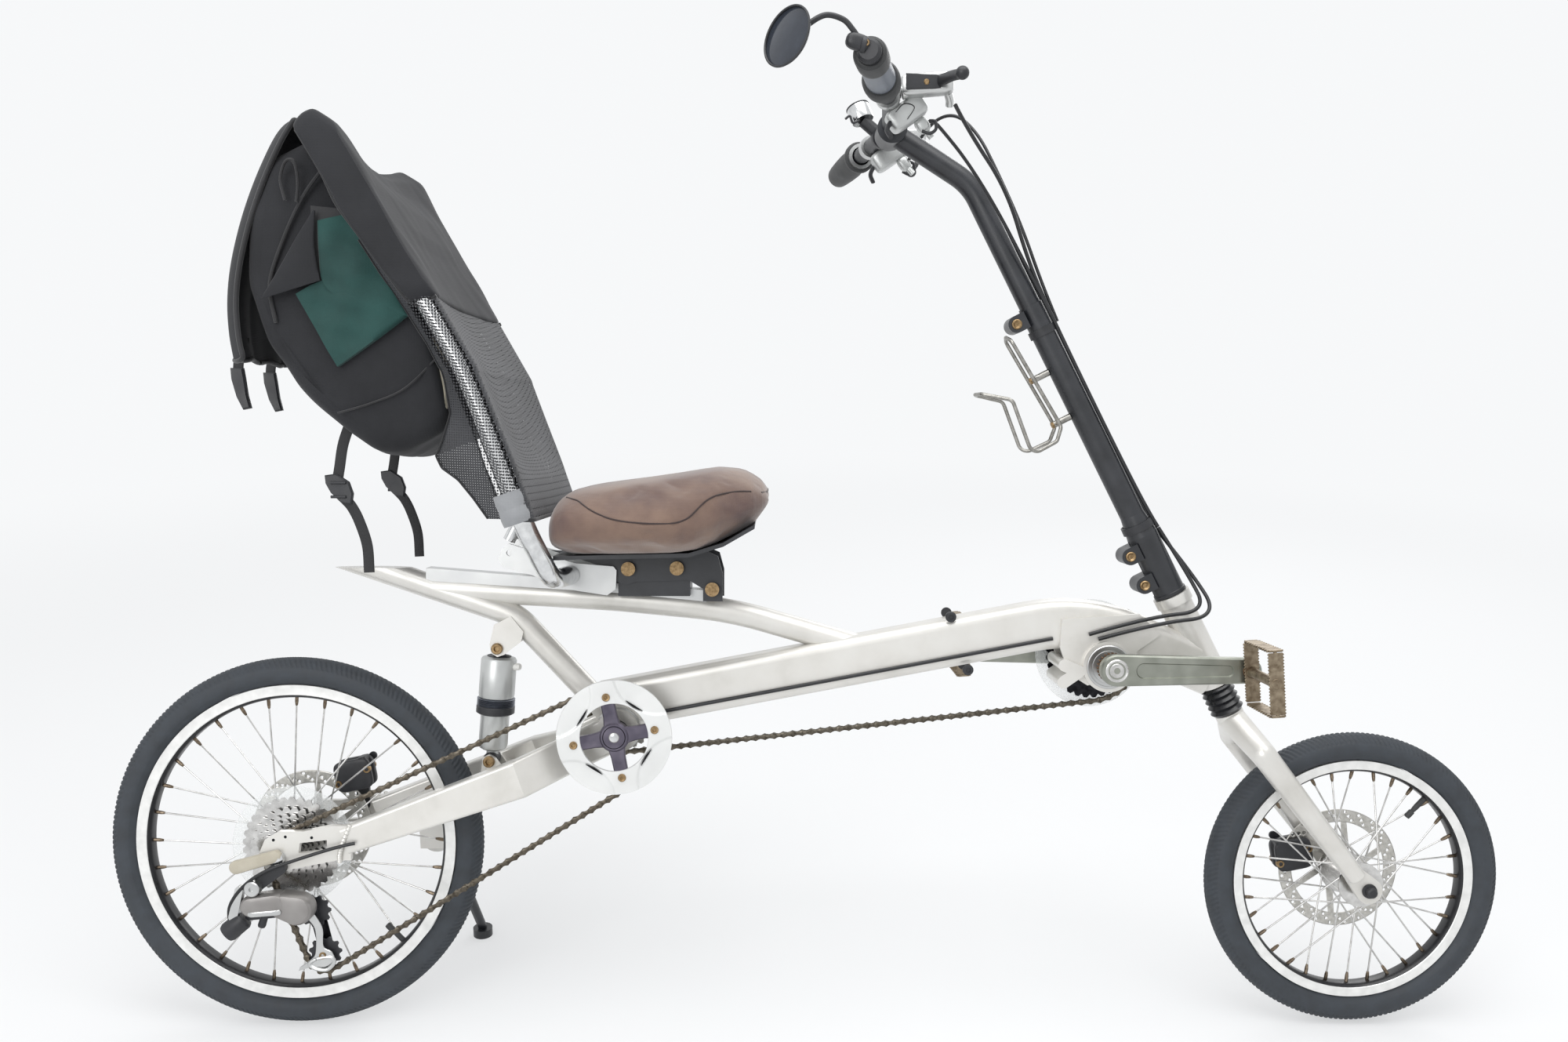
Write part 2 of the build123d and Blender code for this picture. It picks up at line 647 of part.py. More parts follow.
tail_slice = Plane(origin=(stay_tail[0], 0, tail_top_z)) * Rectangle(cutter_reach, cutter_reach)
tail_slice = extrude(tail_slice, amount=beam_width)
stay_points = [point(stay_tail, 0), point(stay_bend, 0), point(jack_axis, 0)]
stay = bent_tube(stay_points, [stay_bend_radius], frame_tube_diameter) - tail_slice
node["stay_tube"] = stay - beam - housing_blank
upper_places = (upper_tube_rear,) + upper_tube_bends + (upper_tube_front,)
upper_points = [point(place, 0) for place in upper_places]
upper = bent_tube(upper_points, upper_tube_bend_radii, frame_tube_diameter)
node["upper_tube"] = largest(upper - beam - stay)

rail_slope = degrees(atan2(rail_front[1] - rail_rear[1], rail_front[0] - rail_rear[0]))
rail_outline = [rail_rear, rail_front, (rail_front[0], rail_front[1] - rail_height),
                (rail_rear[0], rail_rear[1] - rail_height)]
node["seat_rail"] = plate(rail_outline, 0, rail_width) - upper - stay

# Bottom bracket: a split shell, its eccentric insert, lugs and side gussets
insert_radius = bracket_radius - bracket_wall
insert_room = rod(point(bracket_centre, bracket_half_width + overrun),
                  point(bracket_centre, -bracket_half_width - overrun), insert_radius)
bracket_webs = [plate(gusset_outline, side * (beam_width + gusset_thickness) / 2, gusset_thickness)
                for side in (-1, 1)]
bracket = bracket_blank
for web in bracket_webs:
    bracket += web - beam - head_room
for place in lug_centres:
    bracket += arm_plate(lug_root, lug_radius, place, lug_radius, 0, bracket_half_width * 2)
node["bracket_shell"] = bracket - insert_room - node["main_beam"]
insert = rod(point(bracket_centre, bracket_half_width), point(bracket_centre, -bracket_half_width),
             insert_radius - clearance)
node["bracket_insert"] = insert - rod(point(crank_axis, bracket_half_width + overrun),
                                      point(crank_axis, -bracket_half_width - overrun),
                                      crank_axle_radius + clearance)

# Crank: axle, two arms, chainring and its clear guard
def crank_arm(side, direction):
    """One arm from the axle to the pedal eye, pointing forward or back."""
    eye = (crank_axis[0] + direction * crank_arm_length, crank_axis[1])
    y = side * crank_arm_y
    arm = arm_plate(crank_axis, crank_boss_radius, eye, crank_tip_radius, y, crank_arm_thickness)
    return arm - disc(eye, pedal_axle_radius + clearance, y, crank_arm_thickness + overrun)


crank_arm_inner = crank_arm_y - crank_arm_thickness / 2
crank_axle = rod(point(crank_axis, crank_arm_inner), point(crank_axis, -crank_arm_inner), crank_axle_radius)
node["crank_right"] = crank_arm(-1, 1)
node["crank_left"] = crank_arm(1, -1)
crank_ring = sprocket(crank_axis, crank_ring_teeth, front_chain_y, sprocket_thickness, crank_axle_radius)
ring_boss = rod(point(crank_axis, front_chain_y), point(crank_axis, crank_arm_inner), crank_boss_radius)
node["crank_ring"] = crank_ring + ring_boss + crank_axle
chain_guard_radius = pitch_radius_of(crank_ring_teeth) + chain_height
chain_guard_y = front_chain_y + chain_width
chain_guard = disc(crank_axis, chain_guard_radius, chain_guard_y, guard_disc_thickness / 2)
node["chain_guard"] = chain_guard - disc(crank_axis, crank_boss_radius + clearance, 0, cutter_reach)

# Middle shaft: left sprocket, right sprocket, spider and the scooped guard disc
jack_reach = -rear_chain_y + sprocket_thickness + guard_disc_gap + spider_thickness
spider_y = rear_chain_y - sprocket_thickness / 2 - spider_thickness / 2
jack_left_reach = front_chain_y + sprocket_thickness
jack_axle = rod(point(jack_axis, jack_left_reach), point(jack_axis, -jack_reach), jack_axle_radius)
jack_left = sprocket(jack_axis, jack_left_teeth, front_chain_y, sprocket_thickness, jack_axle_radius)
jack_ring_bore = spider_bolt_radius - overrun
node["jack_ring"] = sprocket(jack_axis, jack_right_teeth, rear_chain_y, sprocket_thickness, jack_ring_bore)
spider = disc(jack_axis, spider_boss_radius, spider_y, spider_thickness)
for number in range(spider_arm_count):
    angle = radians(spider_turn_angle + number * 360 / spider_arm_count)
    reach = (jack_axis[0] + spider_bolt_radius * cos(angle), jack_axis[1] + spider_bolt_radius * sin(angle))
    spider += arm_plate(jack_axis, spider_arm_width / 2, reach, spider_arm_width / 2, spider_y,
                        spider_thickness)
node["jack_shaft"] = jack_axle + jack_left + spider
guard_disc_y = spider_y - spider_thickness / 2 - guard_disc_thickness / 2
guard = disc(jack_axis, guard_disc_radius, guard_disc_y, guard_disc_thickness)
guard -= disc(jack_axis, guard_disc_inner_radius, guard_disc_y, guard_disc_thickness + overrun)
node["guard_disc"] = guard

# Chains
node["front_chain"] = chain_band([(jack_axis, pitch_radius_of(jack_left_teeth), 1),
                                  (crank_axis, pitch_radius_of(crank_ring_teeth), 1)], front_chain_y)
node["rear_chain"] = chain_band([(jack_axis, pitch_radius_of(jack_right_teeth), 1),
                                 (rear_hub, pitch_radius_of(cassette_teeth[0]), 1),
                                 (pulley_high, pitch_radius_of(pulley_teeth), -1),
                                 (pulley_low, pitch_radius_of(pulley_teeth), 1)], rear_chain_y)


# Pedals
def pedal(side, eye):
    """A cage pedal: a barrel on its axle between two side walls, hung nearly upright."""
    inner = crank_arm_y + crank_arm_thickness / 2 + pedal_axle_gap
    middle = side * (inner + pedal_width / 2)
    half = pedal_length / 2
    outline = [(-half, -pedal_height / 2), (half, -pedal_height / 2), (half, pedal_height / 2),
               (-half, pedal_height / 2)]
    cage = plate(outline, 0, pedal_width)
    window = (pedal_length - 2 * pedal_wall) / 2 - pedal_barrel_radius
    for way in (-1, 1):
        place = way * (pedal_barrel_radius + window / 2)
        cage -= Pos(place, 0, 0) * Box(window, pedal_width - 2 * pedal_wall, pedal_height + overrun)
    cage = Pos(eye[0], middle, eye[1]) * (Rot(0, pedal_hang_angle, 0) * cage)
    axle = rod(point(eye, side * (crank_arm_y - crank_arm_thickness / 2)), point(eye, side * inner),
               pedal_axle_radius)
    return cage + axle


right_eye = (crank_axis[0] + crank_arm_length, crank_axis[1])
left_eye = (crank_axis[0] - crank_arm_length, crank_axis[1])
node["pedal_right"] = pedal(-1, right_eye)
node["pedal_left"] = pedal(1, left_eye)

arm_pivot_y = jack_housing_half_width + clearance + arm_pivot_width / 2


# Swinging arm: two tapered stays, the rings that pivot beside the housing, bridge and dropouts
def swing_stay(side):
    """One rectangular stay from the dropout to the pivot, waisted inwards past the knee."""
    rise = atan2(arm_knee[1] - arm_rear[1], arm_knee[0] - arm_rear[0])

    def section(place, y, width, height):
        plane = Plane(origin=point(place, side * y), x_dir=(0, 1, 0), z_dir=(cos(rise), 0, sin(rise)))
        return plane * RectangleRounded(width, height, arm_corner_radius)

    knee = section(arm_knee, arm_y, arm_thickness, arm_front_height)
    waist = section(arm_waist, arm_pivot_y, arm_pivot_width, arm_front_height)
    stay_part = loft([section(arm_rear, arm_y, arm_thickness, arm_rear_height), knee])
    stay_part += loft([knee, waist])
    stay_part += loft([waist, section(jack_axis, arm_pivot_y, arm_pivot_width, arm_front_height)])
    ring = disc(jack_axis, arm_pivot_radius, side * arm_pivot_y, arm_pivot_width)
    end_cap_y = side * (rear_dropout_y + dropout_thickness / 2)
    end_cap = plate(dropout_outline, end_cap_y, dropout_thickness)
    end_cap -= plate(dropout_window, end_cap_y, dropout_thickness + overrun)
    end_cap -= disc(rear_hub, axle_radius + clearance, 0, cutter_reach)
    bore = disc(jack_axis, jack_bore_radius, 0, cutter_reach)
    return stay_part + ring + end_cap - bore


node["swingarm_right"] = swing_stay(-1)
node["swingarm_left"] = swing_stay(1)
bridge_outline = [(bridge_place[0] - bridge_length / 2, bridge_place[1] - bridge_height / 2),
                  (bridge_place[0] + bridge_length / 2, bridge_place[1] - bridge_height / 2),
                  (bridge_place[0] + bridge_length / 2, bridge_place[1] + bridge_height / 2),
                  (bridge_place[0] - bridge_length / 2, bridge_place[1] + bridge_height / 2)]
bridge = plate(bridge_outline, 0, 2 * (arm_y - arm_thickness / 2))
ear_y = shock_eye_width / 2 + ear_gap + ear_thickness / 2
for side in (-1, 1):
    bridge += plate(foot_ear_outline, side * ear_y, ear_thickness)
node["swingarm_bridge"] = bridge - node["swingarm_right"] - node["swingarm_left"]
top_ears = [plate(top_ear_outline, side * ear_y, ear_thickness) - stay for side in (-1, 1)]
for ear in top_ears:
    node["stay_tube"] += ear

# Shock: can, collar, rod and its two eyes
shock_length = distance(shock_top, shock_foot)
shock_way = (Vector(*point(shock_foot, 0)) - Vector(*point(shock_top, 0))).normalized()
shock_plane = Plane(origin=point(shock_top, 0), x_dir=(0, 1, 0), z_dir=Vector(0, 1, 0).cross(shock_way))
shock_steps = [(radius, share * shock_length) for radius, share in zip(shock_radii, shock_shares)]
shock_face = make_face(Polyline(shock_steps, close=True).edges())
shock_body = revolve(shock_plane * shock_face, axis=Axis(point(shock_top, 0), shock_way))
for place in (shock_top, shock_foot):
    shock_body += disc(place, shock_eye_radius, 0, shock_eye_width)
node["shock"] = shock_body

# Side stand: bracket and boss under the left stay, leg and foot
ground_up = Vector(0, -sin(radians(lean_angle)), cos(radians(lean_angle)))
lean_lift = tread_radius * (1 - cos(radians(lean_angle)))
foot_z = (stand_foot_y * sin(radians(lean_angle)) - lean_lift) / cos(radians(lean_angle))
foot_ground = Vector(stand_foot_x, stand_foot_y, foot_z)
foot_top = foot_ground + ground_up * stand_foot_height
stand_hinge = Vector(*stand_pivot)
stand_down = (foot_top - stand_hinge).normalized()
stand_stowed = (Vector(*stand_stow_point) - stand_hinge).normalized()
stand_axis = stand_down.cross(stand_stowed).normalized()
stand_swing_angle = stand_down.get_angle(stand_stowed)
knuckle_half = stand_knuckle_width / 2
knuckle = rod(stand_hinge - stand_axis * knuckle_half, stand_hinge + stand_axis * knuckle_half,
              stand_knuckle_radius)
leg = cone(stand_hinge, foot_top, stand_leg_diameter / 2, stand_tip_diameter / 2)
foot = rod(foot_ground, foot_top, stand_foot_radius)
pin_room = rod(stand_hinge - stand_axis * stand_boss_length, stand_hinge + stand_axis * stand_boss_length,
               stand_pin_radius + clearance)
node["stand_leg"] = knuckle + leg + foot - pin_room
boss_start = stand_hinge - stand_axis * (knuckle_half + clearance)
stand_boss = rod(boss_start - stand_axis * stand_boss_length, boss_start, stand_knuckle_radius)
bracket_block = plate(stand_bracket_outline, arm_y, stand_bracket_thickness)
beyond = extrude(Plane(origin=boss_start, z_dir=stand_axis) * Rectangle(cutter_reach, cutter_reach),
                 amount=cutter_reach)
pin_end = stand_hinge + stand_axis * (knuckle_half + clearance)
stand_pin = rod(boss_start - stand_axis * stand_pin_radius, pin_end, stand_pin_radius)
node["stand_bracket"] = bracket_block + stand_boss - beyond - node["swingarm_left"] + stand_pin

# Seat: side plates, back plates, pan, cushion, back frame, mesh and bag
def seat_plate_pair(outline, y, thickness):
    return [plate(outline, side * y, thickness) for side in (-1, 1)]


bolt_holes = [disc(p, stand_pin_radius, 0, cutter_reach) for p in seat_bolt_places]
side_plates = seat_plate_pair(side_plate_outline, seat_plate_y, seat_plate_thickness)
recline_bore = disc(recline_hole, recline_hole_radius, 0, cutter_reach)
back_plates = seat_plate_pair(back_plate_outline, back_plate_y, seat_plate_thickness)
node["seat_back_plates"] = Compound([p - recline_bore for p in back_plates])
bolt_reach = back_plate_y + seat_plate_thickness / 2 + clearance
seat_bolts = []
for place in seat_bolt_places:
    bolt = rod(point(place, -bolt_reach), point(place, bolt_reach), stand_pin_radius - clearance)
    for side in (-1, 1):
        bolt += disc(place, seat_bolt_radius, side * (bolt_reach + seat_bolt_head / 2), seat_bolt_head)
    seat_bolts.append(bolt)
node["seat_bolts"] = Compound(seat_bolts)
pan_lower = [(x, z - pan_thickness) for x, z in pan_outline]
seat_pan = plate(list(pan_outline) + pan_lower[::-1], 0, 2 * pan_half_width)
clamp_width = 2 * seat_plate_y - seat_plate_thickness
rail_room = plate(rail_outline, 0, rail_width + 2 * clearance)
seat_clamp = plate(seat_clamp_outline, 0, clamp_width) - rail_room - upper
for side_plate in side_plates:
    seat_clamp += side_plate
for hole in bolt_holes:
    seat_clamp -= hole
node["seat_base"] = seat_clamp + seat_pan
cushion_bottom = [(x, z + clearance) for x, z in pan_outline]
cushion_side = plate(cushion_bottom + list(cushion_top), 0, cutter_reach, cushion_corner_radius)
plan_right = [(x, -y) for x, y in cushion_plan[::-1]]
plan_edges = Polyline(list(cushion_plan) + plan_right, close=True).edges()
cushion_block = extrude(make_face(plan_edges), amount=max(z for x, z in cushion_top) + overrun)
node["seat_cushion"] = cushion_side & cushion_block


def back_tube(diameter):
    """Both tubes of the seat back with the two bars between them."""
    left = bent_tube(back_tube_path, back_tube_bend_radii, diameter)
    frame = left + mirror(left, about=Plane.XZ)
    line = tube_path(back_tube_path, back_tube_bend_radii)
    for share in back_bar_shares:
        end = line @ share
        frame += rod((end.X, end.Y, end.Z), (end.X, -end.Y, end.Z), diameter / 2)
    lower_bar = line @ back_bar_shares[0]
    for side in (-1, 1):
        frame += rod(point(strut_foot, side * strut_y), (lower_bar.X, side * strut_y, lower_bar.Z),
                     strut_diameter / 2 + (diameter - back_tube_diameter) / 2)
    return frame


plate_room = plate(back_plate_outline, 0, 2 * back_plate_y + seat_plate_thickness)
node["seat_back_frame"] = back_tube(back_tube_diameter) - plate_room
tube_room = back_tube(back_tube_diameter + 2 * clearance)
back_line = tube_path(back_tube_path, back_tube_bend_radii)
mesh_front = []
for number in range(mesh_count + 1):
    share = mesh_shares[0] + (mesh_shares[1] - mesh_shares[0]) * number / mesh_count
    share = 1 - (1 - share) * back_share
    place = back_line @ share
    mesh_front.append((place.X + mesh_forward, place.Z))
mesh_back = [(x - mesh_thickness, z) for x, z in mesh_front]
node["seat_mesh"] = plate(mesh_front + mesh_back[::-1], 0, 2 * mesh_half_width) - tube_room
room_front = [(x + clearance, z) for x, z in mesh_front]
room_back = [(x - clearance, z) for x, z in mesh_back]
mesh_room = plate(room_front + room_back[::-1], 0, 2 * mesh_half_width + 2 * clearance)
bag_shape = plate(sleeve_outline, 0, 2 * sleeve_half_width) + plate(pouch_outline, 0, 2 * pouch_half_width)
bag_shape += plate(flap_outline, 0, 2 * flap_half_width)
node["seat_bag"] = bag_shape - tube_room - mesh_room

# Fork: steerer, neck, two blades, tips
crown_place = on_steering(-fork_crown_drop)
steerer = rod(on_steering(riser_base_length * half_share), crown_place, steerer_diameter / 2)
neck = rod(on_steering(-head_tube_length - boot_length), crown_place, fork_neck_diameter / 2)
fork_shape = steerer + neck
for side in (-1, 1):
    shoulder = point(fork_shoulder, side * fork_blade_y)
    foot_end = point(fork_blade_foot, side * fork_blade_y)
    fork_shape += cone(crown_place, shoulder, fork_neck_diameter / 2, fork_blade_radii[0])
    fork_shape += Pos(*shoulder) * Sphere(fork_blade_radii[0])
    fork_shape += cone(shoulder, foot_end, fork_blade_radii[0], fork_blade_radii[1])
    tip_y = side * (front_dropout_y + fork_tip_thickness / 2)
    fork_shape += arm_plate(fork_blade_foot, fork_blade_radii[1], front_hub, fork_tip_radius, tip_y,
                            fork_tip_thickness)
    fork_shape -= disc(front_hub, axle_radius + clearance, tip_y, fork_tip_thickness + overrun)
inner_room = rod(point(front_hub, front_dropout_y), point(front_hub, -front_dropout_y), fork_tip_radius * 2)
node["fork"] = fork_shape - inner_room
boot_profile = [(steerer_diameter / 2 + clearance, -head_tube_length - clearance)]
ring_step = (boot_length - 2 * clearance) / boot_ring_count
for number in range(boot_ring_count):
    top = -head_tube_length - clearance - number * ring_step
    boot_profile.append((boot_diameter / 2 - boot_ring_depth, top))
    boot_profile.append((boot_diameter / 2, top - ring_step / 2))
boot_profile.append((boot_diameter / 2 - boot_ring_depth, -head_tube_length - boot_length + clearance))
boot_profile.append((steerer_diameter / 2 + clearance, -head_tube_length - boot_length + clearance))
node["fork_boot"] = turned_on_steering(boot_profile) - fork_shape
steerer_room = steerer_diameter / 2 + clearance
node["head_tube"] += turned_on_steering([(steerer_room, -cup_gap), (cup_diameter / 2, -cup_gap),
                                         (cup_diameter / 2, -cup_height), (steerer_room, -cup_height)])

# Riser: clamp base, tube, clamp lugs, inner tube that bends back to the bar
base_profile = [(steerer_room, 0), (riser_base_diameter / 2, 0),
                (riser_base_diameter / 2, riser_base_length),
                (riser_diameter / 2, riser_base_length + riser_neck_length),
                (riser_diameter / 2, riser_length), (steerer_room, riser_length)]
riser = turned_on_steering(base_profile)
for height in clamp_lug_heights:
    back = Vector(*on_steering(height, -clamp_lug_offset))
    side_way = Vector(0, clamp_lug_width / 2, 0)
    lug_plane = Plane(origin=back, x_dir=(0, 1, 0), z_dir=steering_front)
    lug_face = lug_plane * Rectangle(clamp_lug_width, 2 * clamp_lug_radius)
    riser += rod(back - side_way, back + side_way, clamp_lug_radius)
    riser += extrude(lug_face, amount=clamp_lug_offset - steerer_diameter / 2)
riser_hole = rod(on_steering(-overrun), on_steering(riser_length + overrun), steerer_room)
node["riser"] = riser - riser_hole
inner_start = on_steering(riser_base_length)
bar_middle = point(bar_centre, 0)
inner_points = [inner_start, on_steering(riser_bend_height), bar_middle]
inner = bent_tube(inner_points, [riser_bend_radius], inner_riser_diameter)
inner += disc(bar_centre, bar_clamp_radius, 0, bar_clamp_width)
bar_points = [(bar_end[0], -bar_end[1], bar_end[2]), (bar_knee[0], -bar_knee[1], bar_knee[2]),
              bar_middle, (bar_knee[0], bar_knee[1], bar_knee[2]), (bar_end[0], bar_end[1], bar_end[2])]
bar = bent_tube(bar_points, [bar_bend_radius, bar_bend_radius, bar_bend_radius], bar_diameter)
node["inner_riser"] = inner - bar
node["handlebar"] = bar
grips = []
for side in (-1, 1):
    end = Vector(bar_end[0], side * bar_end[1], bar_end[2])
    knee = Vector(bar_knee[0], side * bar_knee[1], bar_knee[2])
    way = (knee - end).normalized()
    grip = rod(end - way * overrun, end + way * grip_length, grip_radius)
    grip_inner = end + way * grip_length
    grip += rod(grip_inner, grip_inner + way * flange_length, flange_radius)
    grips.append(grip - bar)
node["grips"] = Compound(grips)


# Bottle cage of bent wire on two bosses
cage_points = [on_steering(height, forward, y) for height, forward, y in cage_wire]
cage_side = bent_tube(cage_points, cage_wire_radii, cage_wire_diameter)
cage = cage_side + mirror(cage_side, about=Plane.XZ)
for height in cage_boss_heights:
    cage += rod(on_steering(height, -riser_diameter / 2 - clearance), on_steering(height, cage_foot_forward),
                cage_boss_radius)
    cage += rod(on_steering(height, cage_wire[2][1], cage_wire[2][2]),
                on_steering(height, cage_wire[2][1], -cage_wire[2][2]), cage_wire_diameter / 2)
node["bottle_cage"] = cage

# Brake levers and shifter pods on both sides of the bar
bar_way = (Vector(*bar_end) - Vector(*bar_knee)).normalized()
clamp_half = bar_way * (lever_clamp_width / 2)
lever_seat = Vector(*bar_knee) + bar_way * (lever_clamp[1] - bar_knee[1])
lever_clamp_ring = rod(lever_seat - clamp_half, lever_seat + clamp_half, lever_clamp_radius)
lever_arm = rod(lever_seat, lever_body_front, lever_body_radius)
blade = cone(lever_body_front, lever_ball, lever_body_radius, lever_blade_radius)
blade += Pos(*lever_ball) * Sphere(lever_ball_radius)
shifter = block(shifter_centre, shifter_size, shifter_corner_radius)
control = lever_clamp_ring + lever_arm + blade
node["brake_levers"] = Compound([control - bar, mirror(control, about=Plane.XZ) - bar])
shifter = shifter - bar - control
node["shifters"] = Compound([shifter, mirror(shifter, about=Plane.XZ)])

# Bell on the left side and the mirror on the right bar end
bell_foot = Vector(*bell_centre)
bell_up = Vector(*bell_lean).normalized()
bell = cone(bell_foot, bell_foot + bell_up * bell_height, bell_radius, bell_radius * bell_top_share)
bell_share = bell_centre[1] / bar_knee[1]
bell_seat = Vector(*bar_middle) * (1 - bell_share) + Vector(*bar_knee) * bell_share
bell += rod(bell_seat, bell_foot, bell_stem_radius)
node["bell"] = bell - bar
mirror_stem = bent_tube(mirror_arm, mirror_arm_radii, mirror_arm_diameter)
mirror_way = Vector(*mirror_facing).normalized()
mirror_back = Vector(*mirror_centre) - mirror_way * (mirror_thickness / 2)
mirror_front = Vector(*mirror_centre) + mirror_way * (mirror_thickness / 2)
mirror_face = cone(mirror_back, mirror_front, mirror_radius * mirror_back_share, mirror_radius)
right_end = Vector(bar_end[0], -bar_end[1], bar_end[2])
right_way = Vector(bar_way.X, -bar_way.Y, bar_way.Z)
bar_plug = rod(right_end, right_end + right_way * grip_radius, bar_plug_radius)
node["mirror"] = mirror_stem + mirror_face + bar_plug - node["grips"] - bar

# Brake calipers, each a block slotted for its disc
rotor_slot = rotor_thickness + 2 * caliper_gap
front_caliper_centre = (front_hub[0] + front_caliper_shift[0], front_caliper_shift[1],
                        front_hub[1] + front_caliper_shift[2])
front_caliper = block(front_caliper_centre, front_caliper_size, caliper_corner_radius)
front_caliper -= disc(front_hub, rotor_radius + caliper_gap, front_rotor_y, rotor_slot)
node["front_caliper"] = front_caliper - node["fork"]
rear_caliper_centre = (rear_hub[0] + rear_caliper_shift[0], rear_caliper_shift[1],
                       rear_hub[1] + rear_caliper_shift[2])
rear_caliper = block(rear_caliper_centre, rear_caliper_size, caliper_corner_radius)
rear_caliper += arm_plate(caliper_tab[0], caliper_tab_radius, caliper_tab[1], caliper_tab_radius,
                          rear_dropout_y + dropout_thickness / 2, dropout_thickness)
rear_caliper -= disc(rear_hub, rotor_radius + caliper_gap, rear_rotor_y, rotor_slot)
node["rear_caliper"] = largest(rear_caliper - node["swingarm_left"])

# Quick release of the rear axle: a nut on the left and a lever on the right
lever_y = rear_dropout_y + dropout_thickness + lever_disc_thickness / 2
axle_hold = disc(rear_hub, lever_disc_radius, lever_y, lever_disc_thickness) + disc(
    rear_hub, lever_disc_radius, -lever_y, lever_disc_thickness)
axle_hold += arm_plate(axle_lever[0], axle_lever_radii[0], axle_lever[1], axle_lever_radii[1],
                       -lever_y - lever_disc_thickness / 2, axle_lever_thickness)
for side in (-1, 1):
    axle_hold += rod(point(rear_hub, side * rear_dropout_y), point(rear_hub, side * lever_y), axle_radius)
node["rear_release"] = axle_hold

# Rear derailleur: hanger, body, barrel, and a cage whose two plates hold two toothed pulleys
hanger_y = changer_y + (changer_thickness - hanger_thickness) / 2
changer = arm_plate(changer_hanger[0], changer_hanger_radii[0], changer_hanger[1], changer_hanger_radii[1],
                    hanger_y, hanger_thickness)
changer += arm_plate(changer_body[0], changer_body_radii[0], changer_body[1], changer_body_radii[1],
                     changer_y, changer_thickness)
barrel_rear = point(changer_barrel[0], changer_y)
barrel_front = point(changer_barrel[1], changer_y)
changer += rod(barrel_rear, barrel_front, changer_barrel_radius)
changer += rod(barrel_front, point(changer_body[0], changer_y), changer_barrel_radius / 2)
outer_plate_y = rear_chain_y - (chain_width + cage_plate_thickness) / 2 - clearance
inner_plate_y = rear_chain_y + (chain_width + cage_plate_thickness) / 2 + clearance
for number in range(len(cage_plate_radii) - 1):
    changer += arm_plate(cage_plate_places[number], cage_plate_radii[number], cage_plate_places[number + 1],
                         cage_plate_radii[number + 1], outer_plate_y, cage_plate_thickness)
changer += arm_plate(pulley_high, inner_plate_radius, pulley_low, inner_plate_radius, inner_plate_y,
                     cage_plate_thickness)
changer += rod(point(pulley_high, changer_y), point(pulley_high, outer_plate_y), cage_plate_radii[0])
for place in (pulley_high, pulley_low):
    changer += rod(point(place, outer_plate_y), point(place, inner_plate_y), pulley_bolt_radius)
    changer += sprocket(place, pulley_teeth, rear_chain_y, sprocket_thickness, pulley_bolt_radius / 2)
release_room = disc(rear_hub, lever_disc_radius + clearance, 0, cutter_reach)
node["derailleur"] = largest(changer - node["swingarm_right"] - release_room - node["rear_release"])

# Cables: on the riser, round the head, under the beam
def cable_pair(tables, radii):
    """A right and a left cable through tables of (height, forward, y) along the steering axis."""
    routes = [[on_steering(height, forward, y) for height, forward, y in table] for table in tables]
    return Compound([bent_tube(route, radii, cable_diameter) for route in routes])


node["riser_cables"] = cable_pair(riser_cable_table, riser_cable_radii) - node["brake_levers"]
node["loop_cables"] = cable_pair(loop_cable_table, loop_cable_radii)
beam_cable_y = -(beam_width + cable_diameter) / 2 - clearance
node["beam_cable"] = rod(point(beam_cable_ends[0], beam_cable_y), point(beam_cable_ends[1], beam_cable_y),
                         cable_diameter / 2)

# Lean the bicycle onto its stand and put the origin under its middle
def leaned(shape):
    return Pos(0, 0, lean_lift) * (Rot(-lean_angle, 0, 0) * shape)


parked = {name: leaned(shape) for name, shape in node.items()}
whole = Compound(list(parked.values())).bounding_box()
shift = Vector(-(whole.min.X + whole.max.X) / 2, -(whole.min.Y + whole.max.Y) / 2, 0)


def parked_place(place):
    """Where a point of the upright bicycle stands once it is parked."""
    x, y, z = place
    turn = radians(lean_angle)
    return Vector(x, y * cos(turn) + z * sin(turn), z * cos(turn) - y * sin(turn) + lean_lift) + shift


def parked_way(way):
    x, y, z = way
    turn = radians(lean_angle)
    return Vector(x, y * cos(turn) + z * sin(turn), z * cos(turn) - y * sin(turn))


print("lowest", whole.min.Z, "size", whole.size, "shift", shift)
print(len(node))
for name, shape in node.items():
    print(name, round(shape.volume / 1000, 1), len(shape.solids()), shape.is_valid)
os.makedirs("parts", exist_ok=True)
for name, shape in parked.items():
    export_step(Pos(shift.X, shift.Y, 0) * shape, f"parts/{name}.step")
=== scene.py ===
# %% [markdown]
# # A recumbent bicycle with a mesh seat
# The CAD model gives every rigid piece its size and place. This notebook dresses it: it gives each
# surface its finish, and it makes the soft and the small pieces that a CAD model leaves plain. All
# lengths below are written in millimetres on the upright bicycle, because that is how a mechanic
# measures it, and one function moves them to where the bicycle stands, leaning on its stand.

# %% Load the frame
import json
from math import radians

import bmesh
import bpy
import numpy as np
from mathutils import Matrix, Vector
from mathutils.bvhtree import BVHTree


